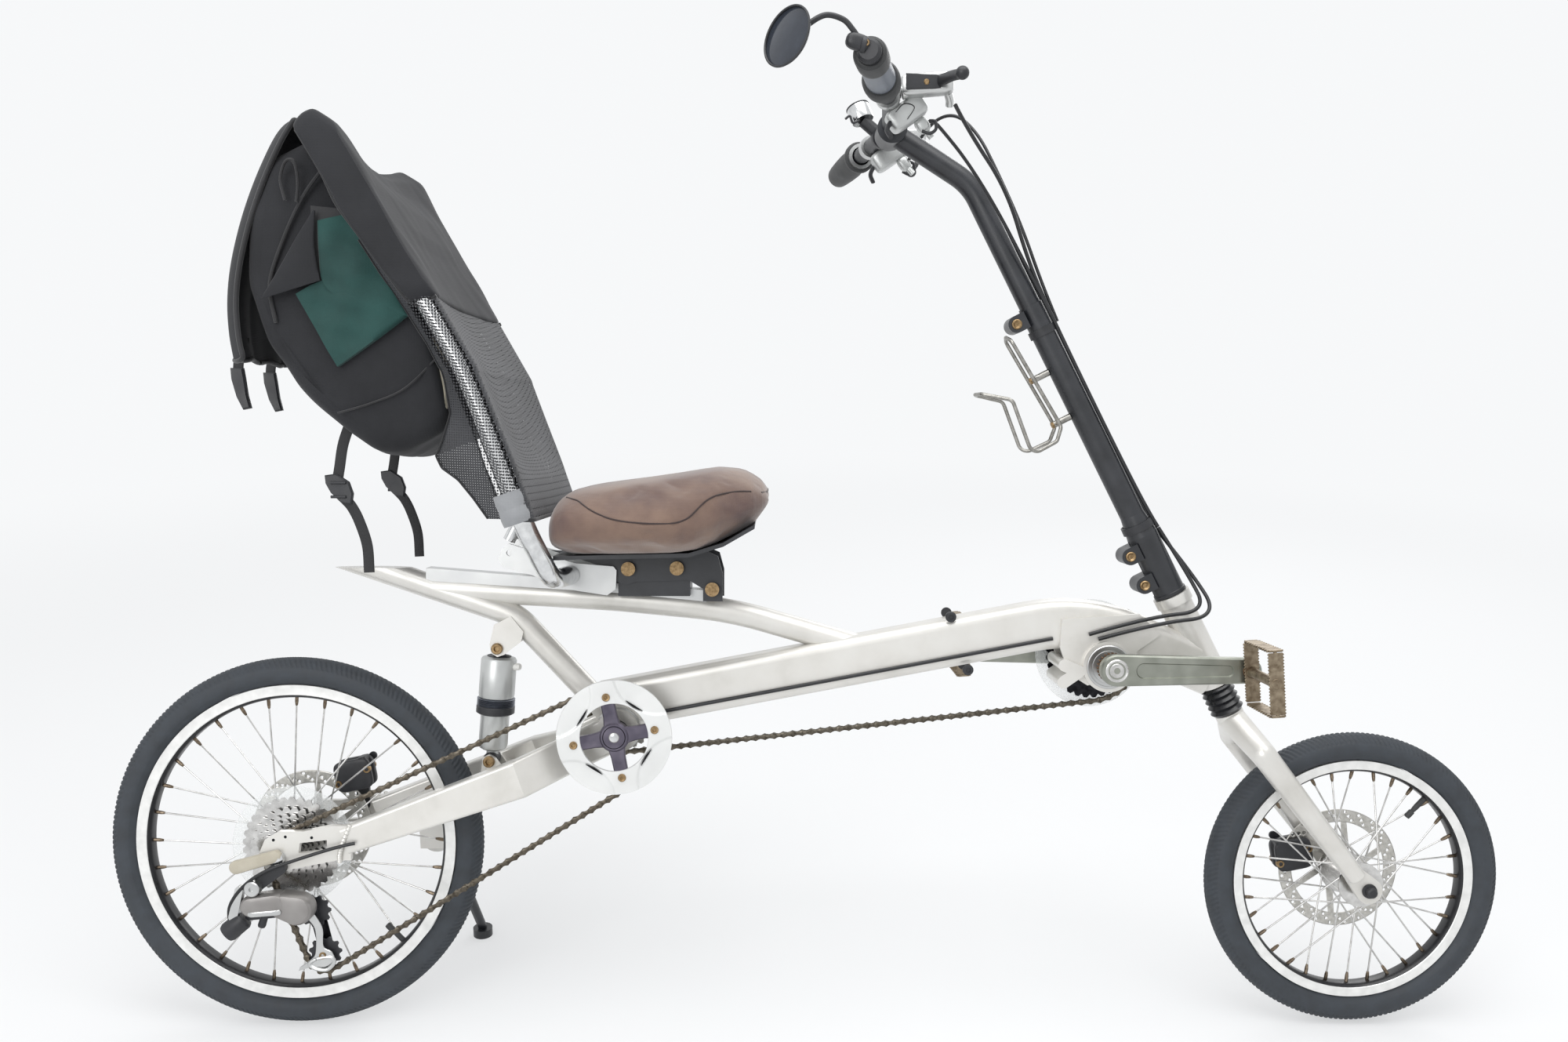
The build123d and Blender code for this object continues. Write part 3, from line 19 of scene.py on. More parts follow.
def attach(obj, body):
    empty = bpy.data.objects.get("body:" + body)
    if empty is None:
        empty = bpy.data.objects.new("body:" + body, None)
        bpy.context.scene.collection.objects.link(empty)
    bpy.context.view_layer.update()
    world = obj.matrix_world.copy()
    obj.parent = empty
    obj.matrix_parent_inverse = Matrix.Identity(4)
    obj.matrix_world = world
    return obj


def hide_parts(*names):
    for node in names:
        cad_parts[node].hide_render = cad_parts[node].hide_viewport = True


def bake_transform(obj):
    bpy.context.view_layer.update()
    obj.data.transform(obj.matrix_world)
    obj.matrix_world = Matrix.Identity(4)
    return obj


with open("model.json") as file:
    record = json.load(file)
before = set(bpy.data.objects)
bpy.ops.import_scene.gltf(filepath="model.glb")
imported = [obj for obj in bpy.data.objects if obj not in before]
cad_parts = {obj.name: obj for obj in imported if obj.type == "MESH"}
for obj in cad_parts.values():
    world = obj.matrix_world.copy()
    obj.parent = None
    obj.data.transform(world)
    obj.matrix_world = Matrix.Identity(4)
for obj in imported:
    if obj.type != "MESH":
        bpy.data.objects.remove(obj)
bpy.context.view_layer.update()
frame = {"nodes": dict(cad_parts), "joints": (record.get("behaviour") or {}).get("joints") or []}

# %% [markdown]
# The rear wheel's joint tells where the upright bicycle went when it was parked: its axis is the
# upright bicycle's left, and its place is 243 mm above the ground line. From these two the turn and
# the shift follow, so the notebook needs no number of its own for the lean.

# %% Upright millimetres to metres in the frame
rear_axle_height = 243.0
rear_joint = next(j for j in frame["joints"] if j["name"] == "rear_wheel_spin")
left = np.array(rear_joint["axis"])
forward = np.array([1.0, 0.0, 0.0])
upward = np.cross(forward, left)
turn = np.stack([forward, left, upward], axis=1)
origin = np.array(rear_joint["pos_m"]) - turn @ np.array([0, 0, rear_axle_height / 1000])


def park(points):
    """Upright points in mm to the frame in m: the turn matrix times the point, plus the shift."""
    return np.asarray(points, float) / 1000 @ turn.T + origin


def park_way(ways):
    """Upright directions to the frame: the turn matrix times the direction."""
    return np.asarray(ways, float) @ turn.T


print("lean", round(float(np.degrees(np.arctan2(-left[2], left[1]))), 2), "degrees")

# %% [markdown]
# The camera stands where the photographer stood: beside the bicycle, a little above the cushion's
# height, and turned with the bicycle's lean so that the wheels look as upright as they did there.

# %% Camera
camera_place = (619.0, -1675.0, 765.0)
camera_pitch, camera_yaw, camera_roll = 3.40, 0.61, 0.20
focal_pixels, photo_width = 1642.0, 2000.0


def camera_axes():
    """Right, up and back of the camera: a turn by yaw, then by pitch, then by roll about the view."""
    yaw, pitch, roll = (radians(a) for a in (camera_yaw, camera_pitch, camera_roll))
    view = np.array([np.sin(yaw), np.cos(yaw), 0.0])
    right = np.array([np.cos(yaw), -np.sin(yaw), 0.0])
    up = np.array([0.0, 0.0, 1.0])
    tilted_view = view * np.cos(pitch) - up * np.sin(pitch)
    tilted_up = up * np.cos(pitch) + view * np.sin(pitch)
    rolled_right = right * np.cos(roll) + tilted_up * np.sin(roll)
    rolled_up = tilted_up * np.cos(roll) - right * np.sin(roll)
    return rolled_right, rolled_up, -tilted_view


camera_data = bpy.data.cameras.new("camera")
camera_data.sensor_width = 36.0
camera_data.lens = focal_pixels / photo_width * camera_data.sensor_width
camera_data.clip_start, camera_data.clip_end = 0.05, 60.0
camera = bpy.data.objects.new("camera", camera_data)
bpy.context.scene.collection.objects.link(camera)
axes = np.stack([park_way(a) for a in camera_axes()], axis=1)
camera_matrix = np.eye(4)
camera_matrix[:3, :3] = axes
camera_matrix[:3, 3] = park(camera_place)
camera.matrix_world = Matrix(camera_matrix.tolist())
bpy.context.scene.camera = camera
bpy.context.scene.view_settings.view_transform = "Standard"
print("camera at", np.round(camera_matrix[:3, 3], 3), "lens", round(camera_data.lens, 2))

# %% [markdown]
# A studio's light is made of large soft panels. Two from the sides and one from above keep the
# tubes round, and the world fills the rest. The floor and the backdrop are white to the camera and
# to whatever mirrors them, by Light Path, so no extra light falls on the bicycle.

# %% Light, floor and backdrop
def sun_panel(name, place, target, size, power):
    """A rectangular lamp at place that faces target, both in m."""
    data = bpy.data.lights.new(name, "AREA")
    data.shape, data.size, data.size_y, data.energy = "RECTANGLE", size[0], size[1], power
    lamp = bpy.data.objects.new(name, data)
    lamp.location = place
    lamp.rotation_euler = (Vector(target) - Vector(place)).to_track_quat("-Z", "Y").to_euler()
    bpy.context.scene.collection.objects.link(lamp)
    return lamp


sun_panel("lamp_top", (0.1, -0.6, 3.2), (0.0, 0.0, 0.5), (3.0, 2.2), 62.0)
sun_panel("lamp_camera_side", (-1.6, -3.0, 2.0), (0.0, 0.0, 0.6), (1.8, 1.8), 42.0)
sun_panel("lamp_far_side", (1.6, 2.6, 2.0), (0.0, 0.0, 0.6), (1.8, 1.8), 24.0)


def put(tree, kind, settings=None, **sockets):
    """Adds a node of a kind, sets its settings, and fills or links the sockets by name."""
    node = tree.nodes.new(kind)
    for key, value in (settings or {}).items():
        setattr(node, key, value)
    for key, value in sockets.items():
        numbered = key[0] == "i" and key[1:].isdigit()
        socket = node.inputs[int(key[1:]) if numbered else key.replace("_", " ")]
        if isinstance(value, bpy.types.NodeSocket):
            tree.links.new(value, socket)
        else:
            socket.default_value = value
    return node


def seen_by_eye(tree):
    """1 for rays of the camera, of mirrors and of glass, else 0: the maximum of three outputs."""
    path = put(tree, "ShaderNodeLightPath")
    pair = put(tree, "ShaderNodeMath", {"operation": "MAXIMUM"}, i0=path.outputs["Is Camera Ray"],
               i1=path.outputs["Is Glossy Ray"])
    three = put(tree, "ShaderNodeMath", {"operation": "MAXIMUM"}, i0=pair.outputs[0],
                i1=path.outputs["Is Transmission Ray"])
    return three.outputs[0]


world = bpy.data.worlds.new("studio")
bpy.context.scene.world = world
world.use_nodes = True
world.node_tree.nodes.clear()
room_light = put(world.node_tree, "ShaderNodeBackground", Color=(1, 1, 1, 1), Strength=0.62)
room_seen = put(world.node_tree, "ShaderNodeBackground", Color=(0.93, 0.94, 0.95, 1), Strength=1.0)
room_mix = put(world.node_tree, "ShaderNodeMixShader", i0=seen_by_eye(world.node_tree),
               i1=room_light.outputs[0], i2=room_seen.outputs[0])
put(world.node_tree, "ShaderNodeOutputWorld", i0=room_mix.outputs[0])

floor_mesh = bpy.data.meshes.new("floor")
floor_half = 9.0
floor_mesh.from_pydata([(-floor_half, -floor_half, 0), (floor_half, -floor_half, 0),
                        (floor_half, floor_half, 0), (-floor_half, floor_half, 0)], [], [(0, 1, 2, 3)])
floor = bpy.data.objects.new("floor", floor_mesh)
floor.location.z = -0.0005
bpy.context.scene.collection.objects.link(floor)
floor_paint = bpy.data.materials.new("studio_floor")
floor_paint.use_nodes = True
tree = floor_paint.node_tree
tree.nodes.clear()
matt = put(tree, "ShaderNodeBsdfDiffuse", Color=(0.86, 0.87, 0.88, 1))
glow = put(tree, "ShaderNodeEmission", Color=(0.93, 0.94, 0.95, 1), Strength=1.0)
floor_mix = put(tree, "ShaderNodeMixShader", i0=0.35, i1=matt.outputs[0], i2=glow.outputs[0])
floor_place = put(tree, "ShaderNodeTexCoord").outputs["Object"]
away = put(tree, "ShaderNodeVectorMath", {"operation": "LENGTH"}, i0=floor_place).outputs["Value"]
fade = put(tree, "ShaderNodeMapRange", {"interpolation_type": "SMOOTHSTEP"}, Value=away, From_Min=1.0,
           From_Max=4.5, To_Min=0.55, To_Max=1.0).outputs["Result"]
share = put(tree, "ShaderNodeMath", {"operation": "MULTIPLY"}, i0=seen_by_eye(tree), i1=fade)
tree.links.new(share.outputs[0], floor_mix.inputs[0])
put(tree, "ShaderNodeOutputMaterial", i0=floor_mix.outputs[0])
floor_mesh.materials.append(floor_paint)

# %% [markdown]
# ## Finishes
# Each finish below is a small node tree on the Principled shader. Colours are written as sRGB hex
# values, and one function turns them to the linear values that Blender mixes.
# Patterns run on Object coordinates, in metres, so a scale of 1000 over a size in mm gives the
# pattern that size.

# %% Helpers for finishes
def linear(hex_colour):
    """sRGB hex to linear: ((c + 0.055) / 1.055) ** 2.4 above 0.04045, and c / 12.92 below it."""
    c = np.array([int(hex_colour[i:i + 2], 16) for i in (1, 3, 5)]) / 255
    line = np.where(c > 0.04045, ((c + 0.055) / 1.055) ** 2.4, c / 12.92)
    return (*line.tolist(), 1.0)


def finish(name):
    """A new material with an empty tree, a Principled shader and its output."""
    material = bpy.data.materials.new(name)
    material.use_nodes = True
    material.node_tree.nodes.clear()
    shader = put(material.node_tree, "ShaderNodeBsdfPrincipled")
    put(material.node_tree, "ShaderNodeOutputMaterial", i0=shader.outputs[0])
    return material, material.node_tree, shader


def grain(tree, size_mm, detail=3.0, stretch=(1, 1, 1), coordinate="Object"):
    """Noise whose grains are about size_mm across, stretched by a Mapping node."""
    place = put(tree, "ShaderNodeTexCoord")
    mapping = put(tree, "ShaderNodeMapping", Vector=place.outputs[coordinate], Scale=stretch)
    return put(tree, "ShaderNodeTexNoise", Vector=mapping.outputs[0], Scale=1000.0 / size_mm, Detail=detail,
               Roughness=0.55).outputs["Fac"]


def blend_colours(tree, factor, stops):
    """Colours between the stops of a ramp, each (position, hex), by factor."""
    ramp = put(tree, "ShaderNodeValToRGB", Fac=factor)
    band = ramp.color_ramp
    band.elements[0].position, band.elements[0].color = stops[0][0], linear(stops[0][1])
    band.elements[1].position, band.elements[1].color = stops[-1][0], linear(stops[-1][1])
    for position, colour in stops[1:-1]:
        band.elements.new(position).color = linear(colour)
    return ramp.outputs["Color"]


def spread(tree, factor, low, high):
    """A number from low to high as factor goes from 0.3 to 0.7, the usual span of noise."""
    return put(tree, "ShaderNodeMapRange", Value=factor, From_Min=0.3, From_Max=0.7, To_Min=low,
               To_Max=high).outputs["Result"]


def raise_surface(tree, shader, height, depth_mm, strength=1.0):
    """Bump of depth_mm by a height from 0 to 1."""
    bump = put(tree, "ShaderNodeBump", Height=height, Distance=depth_mm / 1000, Strength=strength)
    tree.links.new(bump.outputs[0], shader.inputs["Normal"])


# %% Painted metals
def satin_silver_paint():
    """Metallic silver lacquer on the frame: fine flakes under a clear coat, with faint soiling."""
    material, tree, shader = finish("silver_lacquer")
    flakes = grain(tree, 0.6, 2.0)
    soil = grain(tree, 60.0, 4.0)
    base = blend_colours(tree, soil, [(0.25, "#cbc9c3"), (0.5, "#d8d6d1"), (0.8, "#dfdeda")])
    tree.links.new(base, shader.inputs["Base Color"])
    tree.links.new(spread(tree, flakes, 0.30, 0.42), shader.inputs["Roughness"])
    shader.inputs["Metallic"].default_value = 0.45
    shader.inputs["Coat Weight"].default_value = 0.25
    shader.inputs["Coat Roughness"].default_value = 0.18
    raise_surface(tree, shader, flakes, 0.02, 0.4)
    return material


def satin_black_paint():
    """Satin black powder coat on the riser and the seat's irons: a fine orange-peel skin."""
    material, tree, shader = finish("black_powder_coat")
    skin = grain(tree, 1.4, 2.0)
    wear = grain(tree, 35.0, 4.0)
    base = blend_colours(tree, wear, [(0.3, "#1b1d21"), (0.7, "#2a2c31")])
    tree.links.new(base, shader.inputs["Base Color"])
    tree.links.new(spread(tree, wear, 0.30, 0.45), shader.inputs["Roughness"])
    shader.inputs["Specular IOR Level"].default_value = 0.6
    raise_surface(tree, shader, skin, 0.05, 0.35)
    return material


silver_lacquer = satin_silver_paint()
black_powder = satin_black_paint()
print("finishes", silver_lacquer.name, black_powder.name)


# %% Bare and plated metals
def metal(name, dark, light, rough, grain_mm=12.0, scratch=(1, 1, 1), metallic=1.0):
    """Bare metal: a metallic base between two greys, with roughness that varies along its grain."""
    material, tree, shader = finish(name)
    blotch = grain(tree, grain_mm, 2.0, scratch)
    fine = grain(tree, 0.9, 2.0, scratch)
    tree.links.new(blend_colours(tree, blotch, [(0.3, dark), (0.7, light)]), shader.inputs["Base Color"])
    tree.links.new(spread(tree, fine, rough[0], rough[1]), shader.inputs["Roughness"])
    shader.inputs["Metallic"].default_value = metallic
    raise_surface(tree, shader, fine, 0.02, 0.3)
    return material


satin_aluminium = metal("anodised_aluminium", "#bebfbf", "#cbcccb", (0.28, 0.38), 40.0)
bright_aluminium = metal("polished_aluminium", "#c9cacb", "#e3e4e4", (0.10, 0.20))
cast_aluminium = metal("cast_aluminium", "#8f9489", "#abb0a5", (0.35, 0.5), 22.0)
steel = metal("plain_steel", "#86847f", "#a9a7a2", (0.25, 0.42), 8.0)
bright_steel = metal("stainless_steel", "#b9b8b6", "#d9d8d6", (0.16, 0.28))
chain_steel = metal("oiled_chain_steel", "#48433b", "#706a60", (0.32, 0.5), 5.0)
rotor_steel = metal("drilled_rotor_steel", "#b4b2ac", "#cfcdc8", (0.3, 0.45), 5.0)
brass = metal("brass_plated_bolt", "#7a6549", "#a88f6c", (0.3, 0.5), 4.0)
pedal_metal = metal("worn_pedal_cage", "#6f6150", "#a0937f", (0.4, 0.6), 9.0)
dark_metal = metal("black_oxide_steel", "#1d1d1f", "#303033", (0.3, 0.45), 6.0)
rim_silver = metal("brushed_rim_wall", "#e2e2e0", "#f2f2f0", (0.28, 0.4), 14.0, (1, 1, 1), 0.6)
nipple_metal = metal("tarnished_brass", "#5d5247", "#8a7c6b", (0.35, 0.5), 3.0)
worn_chain_steel = metal("brown_chain_steel", "#4b453d", "#716a5f", (0.35, 0.55), 5.0)


# %% Rubbers and plastics
def dull(name, dark, light, rough, skin_mm=1.0, depth_mm=0.03, blotch_mm=20.0):
    """Rubber or moulded plastic: two near colours in blotches, and a fine moulded grain."""
    material, tree, shader = finish(name)
    skin = grain(tree, skin_mm, 2.0)
    blotch = grain(tree, blotch_mm, 4.0)
    tree.links.new(blend_colours(tree, blotch, [(0.3, dark), (0.7, light)]), shader.inputs["Base Color"])
    tree.links.new(spread(tree, blotch, rough[0], rough[1]), shader.inputs["Roughness"])
    raise_surface(tree, shader, skin, depth_mm, 0.5)
    return material


tyre_rubber = dull("tyre_rubber", "#2f3338", "#3d4248", (0.6, 0.8), 0.8, 0.05)
grip_rubber = dull("grip_rubber", "#2e2f30", "#3b3c3d", (0.5, 0.68), 0.8, 0.05)
boot_rubber = dull("bellows_rubber", "#121316", "#1c1d21", (0.22, 0.35))
cable_cover = dull("cable_housing", "#17181a", "#222326", (0.3, 0.42))
black_plastic = dull("glass_filled_nylon", "#202124", "#2c2d31", (0.38, 0.55))
grey_plastic = dull("grey_moulded_plastic", "#5b6068", "#727882", (0.35, 0.5))
rim_black = dull("anodised_black", "#101114", "#1b1c20", (0.25, 0.4))


def clear_sheet():
    """Clear polycarbonate: a low alpha shows what is behind it, and scuffs vary its roughness."""
    material, tree, shader = finish("clear_polycarbonate")
    scuff = grain(tree, 3.0, 4.0)
    tree.links.new(spread(tree, scuff, 0.08, 0.3), shader.inputs["Roughness"])
    tint = blend_colours(tree, scuff, [(0.3, "#e6eaea"), (0.7, "#f4f6f6")])
    tree.links.new(tint, shader.inputs["Base Color"])
    shader.inputs["IOR"].default_value = 1.2
    shader.inputs["Alpha"].default_value = 0.28
    return material


clear_plastic = clear_sheet()
# The mirror's face does not reflect here: its dark grey-blue colour is a painted reflection of dark
# surroundings.
mirror_painted_reflection = dull("mirror_face_painted_reflection", "#2b2f37", "#343942", (0.06, 0.1), 40.0, 0.0)
changer_cast_light = metal("light_cast_cover", "#b3b5b4", "#c6c8c7", (0.3, 0.42), 40.0, (1, 1, 1), 0.6)
disc_silver = metal("pearl_silver_disc", "#d9dad9", "#e4e5e4", (0.34, 0.42), 60.0, (1, 1, 1), 0.35)
changer_cast = metal("grey_cast_cover", "#83807e", "#9a9795", (0.34, 0.46), 40.0, (1, 1, 1), 0.6)
crank_alloy = metal("forged_aluminium", "#8a8d84", "#a3a59c", (0.30, 0.45), 30.0)
ridged_grey = metal("ridged_grey_alloy", "#6a6d75", "#84878f", (0.35, 0.5), 20.0)
purple_grey = metal("anodised_spider", "#57535f", "#716c78", (0.3, 0.45), 20.0)
rusty_steel = metal("rusty_steel", "#5a4434", "#85694f", (0.5, 0.7), 4.0)
beige_plastic = dull("beige_lever", "#aaa392", "#bcb6a7", (0.4, 0.55))
white_plastic = dull("white_nylon", "#d4d4d0", "#e4e4e0", (0.35, 0.5))


# %% Cloths
def woven(name, dark, light, thread_mm, rough=0.85, sheen=0.25, depth_mm=0.15, open_share=0.0):
    """Plain weave: two crossed waves of the thread's spacing. A mesh is clear where both waves are low."""
    material, tree, shader = finish(name)
    place = put(tree, "ShaderNodeTexCoord").outputs["Object"]
    warp = put(tree, "ShaderNodeTexWave", {"bands_direction": "X"}, Vector=place,
               Scale=1000 / thread_mm / 6.28)
    weft = put(tree, "ShaderNodeTexWave", {"bands_direction": "Z"}, Vector=place,
               Scale=1000 / thread_mm / 6.28)
    cross = put(tree, "ShaderNodeMath", {"operation": "MULTIPLY"}, i0=warp.outputs["Fac"],
                i1=weft.outputs["Fac"]).outputs[0]
    fade = grain(tree, 70.0, 5.0)
    tree.links.new(blend_colours(tree, fade, [(0.3, dark), (0.7, light)]), shader.inputs["Base Color"])
    shader.inputs["Roughness"].default_value = rough
    shader.inputs["Sheen Weight"].default_value = sheen
    if open_share > 0:
        solid = put(tree, "ShaderNodeMath", {"operation": "GREATER_THAN"}, i0=cross, i1=open_share).outputs[0]
        tree.links.new(solid, shader.inputs["Alpha"])
    raise_surface(tree, shader, cross, depth_mm, 0.5)
    return material


bag_cloth = woven("polyester_pack_cloth", "#15161a", "#222327", 1.6, 0.85, 0.06)
green_cloth = woven("green_pack_cloth", "#0f3431", "#1a4743", 1.6, 0.8, 0.08)
cushion_cloth = woven("stretch_seat_cloth", "#54403d", "#7d6657", 1.4, 0.75, 0.4)
pad_grey = woven("grey_sleeve_cloth", "#77797c", "#96989b", 1.6, 0.8, 0.2)
mesh_cloth = woven("vinyl_coated_mesh", "#2b2c2f", "#3b3c40", 1.5, 0.6, 0.05, 0.12, 0.004)
stretched_mesh = woven("stretched_vinyl_mesh", "#2f3033", "#414246", 1.9, 0.6, 0.05, 0.12, 0.34)
webbing = woven("nylon_webbing", "#151517", "#232326", 2.0, 0.7, 0.2)
pad_cloth = woven("beige_pad_cloth", "#9b9585", "#b5b0a0", 2.0)
cushion_thread = woven("dark_seam_thread", "#2a1f1e", "#3a2c2a", 1.0, 0.85, 0.2)

# %% [markdown]
# Every node of the CAD model gets one of these finishes. Nodes that a detailed piece replaces
# later still get one, so that a pose or an export never shows a grey solid.

# %% Finishes of the CAD nodes
node_finish = {
    silver_lacquer: ["main_beam", "head_tube", "stay_tube", "upper_tube", "bracket_shell", "swingarm_right",
                     "swingarm_left", "swingarm_bridge", "stand_bracket", "fork"],
    satin_aluminium: ["bracket_insert", "jack_housing", "seat_rail", "seat_back_plates", "rear_rim",
                      "front_rim", "brake_levers", "shifters", "guard_disc"],
    bright_aluminium: ["seat_back_frame", "bell"],
    cast_aluminium: ["crank_right", "crank_left"],
    black_powder: ["seat_base", "riser", "inner_riser", "handlebar", "shock", "stand_leg", "front_caliper",
                   "rear_caliper"],
    bright_steel: ["rear_hub_spokes", "front_hub_spokes", "rear_rotor", "front_rotor", "rear_release",
                   "cassette"],
    steel: ["jack_ring", "jack_shaft", "bottle_cage"],
    brass: ["seat_bolts"],
    chain_steel: ["front_chain", "rear_chain"],
    tyre_rubber: ["rear_tyre", "front_tyre"],
    grip_rubber: ["grips"],
    boot_rubber: ["fork_boot"],
    cable_cover: ["riser_cables", "loop_cables", "beam_cable"],
    dark_metal: ["crank_ring"],
    clear_plastic: ["spoke_guard", "chain_guard"],
    black_plastic: ["derailleur", "mirror"],
    pedal_metal: ["pedal_right", "pedal_left"],
    cushion_cloth: ["seat_cushion"],
    mesh_cloth: ["seat_mesh"],
    bag_cloth: ["seat_bag"],
}
for material, names in node_finish.items():
    for name in names:
        mesh = frame["nodes"][name].data
        mesh.materials.clear()
        mesh.materials.append(material)
dressed = sum(len(v) for v in node_finish.values())
print("nodes dressed", dressed, "of", len(frame["nodes"]))

# %% [markdown]
# ## Shapes from whole arrays
# New pieces are surfaces written as formulas over rows and columns of points. A shape here is a pair:
# its points in upright mm, and its faces as lists of point numbers. Shapes are joined, parked, and
# made into a piece that rides on one body of the model.

# %% Helpers for shapes
def grid_shape(rows, wrap_rows=False, wrap_columns=True, caps=True):
    """Quads between neighbouring rows and columns of points, closed where asked, with flat ends."""
    rows = np.asarray(rows, float)
    count, width = rows.shape[:2]
    index = np.arange(count * width).reshape(count, width)
    index = np.vstack([index, index[:1]]) if wrap_rows else index
    index = np.hstack([index, index[:, :1]]) if wrap_columns else index
    quads = np.stack([index[:-1, :-1], index[:-1, 1:], index[1:, 1:], index[1:, :-1]], axis=-1)
    faces = quads.reshape(-1, 4).tolist()
    if caps and wrap_columns and not wrap_rows:
        faces += [index[0, :width][::-1].tolist(), index[-1, :width].tolist()]
    return rows.reshape(-1, 3), faces


def joined(*shapes):
    """Several shapes as one: the points one after the other, the face numbers moved along."""
    points, faces, start = [], [], 0
    for shape_points, shape_faces in shapes:
        points.append(shape_points)
        faces += [[v + start for v in face] for face in shape_faces]
        start += len(shape_points)
    return np.concatenate(points), faces


def unit(vectors):
    """Vectors divided by their lengths."""
    vectors = np.asarray(vectors, float)
    return vectors / np.linalg.norm(vectors, axis=-1, keepdims=True)


def smooth_path(points, count, closed=False):
    """Points along a Catmull-Rom curve: each stretch is the cubic through four neighbouring points."""
    points = np.asarray(points, float)
    ring = np.concatenate([points[-1:], points, points[:2]]) if closed else np.concatenate(
        [2 * points[:1] - points[1:2], points, 2 * points[-1:] - points[-2:-1]])
    stretches = len(points) if closed else len(points) - 1
    at = np.linspace(0, stretches, count, endpoint=not closed)
    first = np.clip(at.astype(int), 0, stretches - 1)
    t = (at - first)[:, None]
    a, b, c, d = (ring[first + k] for k in range(4))
    squared, cubed = 2 * a - 5 * b + 4 * c - d, 3 * b - a - 3 * c + d
    return 0.5 * (2 * b + (c - a) * t + squared * t ** 2 + cubed * t ** 3)


def frames_along(path, side=(0.0, 1.0, 0.0)):
    """Two directions across each point of a path, the first as near to side as the path lets it be."""
    path = np.asarray(path, float)
    along = unit(np.gradient(path, axis=0))
    across = unit(np.asarray(side) - (along @ np.asarray(side, float))[:, None] * along)
    return across, np.cross(along, across)


def tube(path, radius, sides=14, side=(0.0, 1.0, 0.0), flat=1.0, caps=True):
    """A round tube: path plus radius times (cosine across, sine up); flat squeezes it one way."""
    path = np.asarray(path, float)
    across, up = frames_along(path, side)
    angle = np.linspace(0, 2 * np.pi, sides, endpoint=False)
    radius = np.broadcast_to(np.asarray(radius, float), len(path))[:, None, None]
    rows = path[:, None] + radius * (np.cos(angle)[None, :, None] * across[:, None]
                                     + flat * np.sin(angle)[None, :, None] * up[:, None])
    return grid_shape(rows, caps=caps)


def lathe(centre, axis, profile, sides=32, closed=False):
    """A profile of (radius, distance along the axis), turned about the axis through centre."""
    axis = unit(axis)
    helper = np.array([0, 0, 1.0]) if abs(axis[2]) < 0.9 else np.array([1.0, 0, 0])
    across = unit(np.cross(axis, helper))
    up = np.cross(axis, across)
    profile = np.asarray(profile, float)
    angle = np.linspace(0, 2 * np.pi, sides, endpoint=False)
    ring = np.cos(angle)[:, None] * across + np.sin(angle)[:, None] * up
    rows = (np.asarray(centre) + profile[:, 1][:, None, None] * axis
            + np.maximum(profile[:, 0], 0.01)[:, None, None] * ring)
    return grid_shape(rows, wrap_rows=closed, caps=not closed)


def slab(outline, y_low, y_high, bevel=0.8):
    """A plate of a side-view outline between two distances to the left, its edges eased by bevel."""
    outline = np.asarray(outline, float)
    area = np.sum(outline[:, 0] * np.roll(outline[:, 1], -1) - np.roll(outline[:, 0], -1) * outline[:, 1])
    outline = outline if area > 0 else outline[::-1]
    before, after = unit(outline - np.roll(outline, 1, axis=0)), unit(np.roll(outline, -1, axis=0) - outline)
    normal = np.stack([before[:, 1] + after[:, 1], -before[:, 0] - after[:, 0]], axis=1)
    normal /= np.maximum(1 + np.sum(before * after, axis=1), 0.35)[:, None]
    inner = outline - normal * bevel
    rows = [np.insert(ring, 1, y, axis=1) for ring, y in (
        (inner, y_low), (outline, y_low + bevel), (outline, y_high - bevel), (inner, y_high))]
    return grid_shape(rows)


def repeated(shape, places, axes):
    """Copies of a small shape: each place plus its own three axes times the shape's points."""
    points, faces = shape
    spots = np.asarray(places)[:, None] + np.einsum("nij,kj->nki", np.asarray(axes), points)
    starts = np.arange(len(places)) * len(points)
    return spots.reshape(-1, 3), [[v + start for v in face] for start in starts.tolist() for face in faces]


def rock(shape, place, way_along, way_across):
    """A small shape moved to place, its x laid along one way and its y across it."""
    x = unit(way_along)
    y = unit(np.asarray(way_across, float) - np.dot(way_across, x) * x)
    points, faces = shape
    return np.asarray(place) + points @ np.stack([x, y, np.cross(x, y)]), faces


def piece(name, shapes, materials, body, replaces=(), sharp=38.0):
    """A piece of the dressed model, of one shape per material, that rides on a body."""
    shapes = shapes if isinstance(shapes, list) else [shapes]
    materials = materials if isinstance(materials, list) else [materials]
    points, faces = joined(*shapes)
    mesh = bpy.data.meshes.new(name)
    mesh.from_pydata(park(points).tolist(), [], faces)
    for material in materials:
        mesh.materials.append(material)
    numbers = np.repeat(np.arange(len(shapes)), [len(shape[1]) for shape in shapes])
    mesh.polygons.foreach_set("material_index", np.minimum(numbers, len(materials) - 1).astype(np.int32))
    work = bmesh.new()
    work.from_mesh(mesh)
    bmesh.ops.recalc_face_normals(work, faces=work.faces)
    work.to_mesh(mesh)
    work.free()
    mesh.polygons.foreach_set("use_smooth", np.ones(len(mesh.polygons), bool))
    mesh.set_sharp_from_angle(angle=radians(sharp))
    thing = bpy.data.objects.new(name, mesh)
    bpy.context.scene.collection.objects.link(thing)
    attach(thing, body)
    if replaces:
        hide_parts(*replaces)
    print(name, len(mesh.vertices), "points,", len(mesh.polygons), "faces")
    return thing


def ripple(points, waves):
    """Sum of sines that wrinkles a cloth: each wave is (depth, length, direction, phase)."""
    total = np.zeros(points.shape[:-1])
    for depth, length, direction, phase in waves:
        total += depth * np.sin(2 * np.pi * (points @ unit(direction)) / length + phase)
    return total


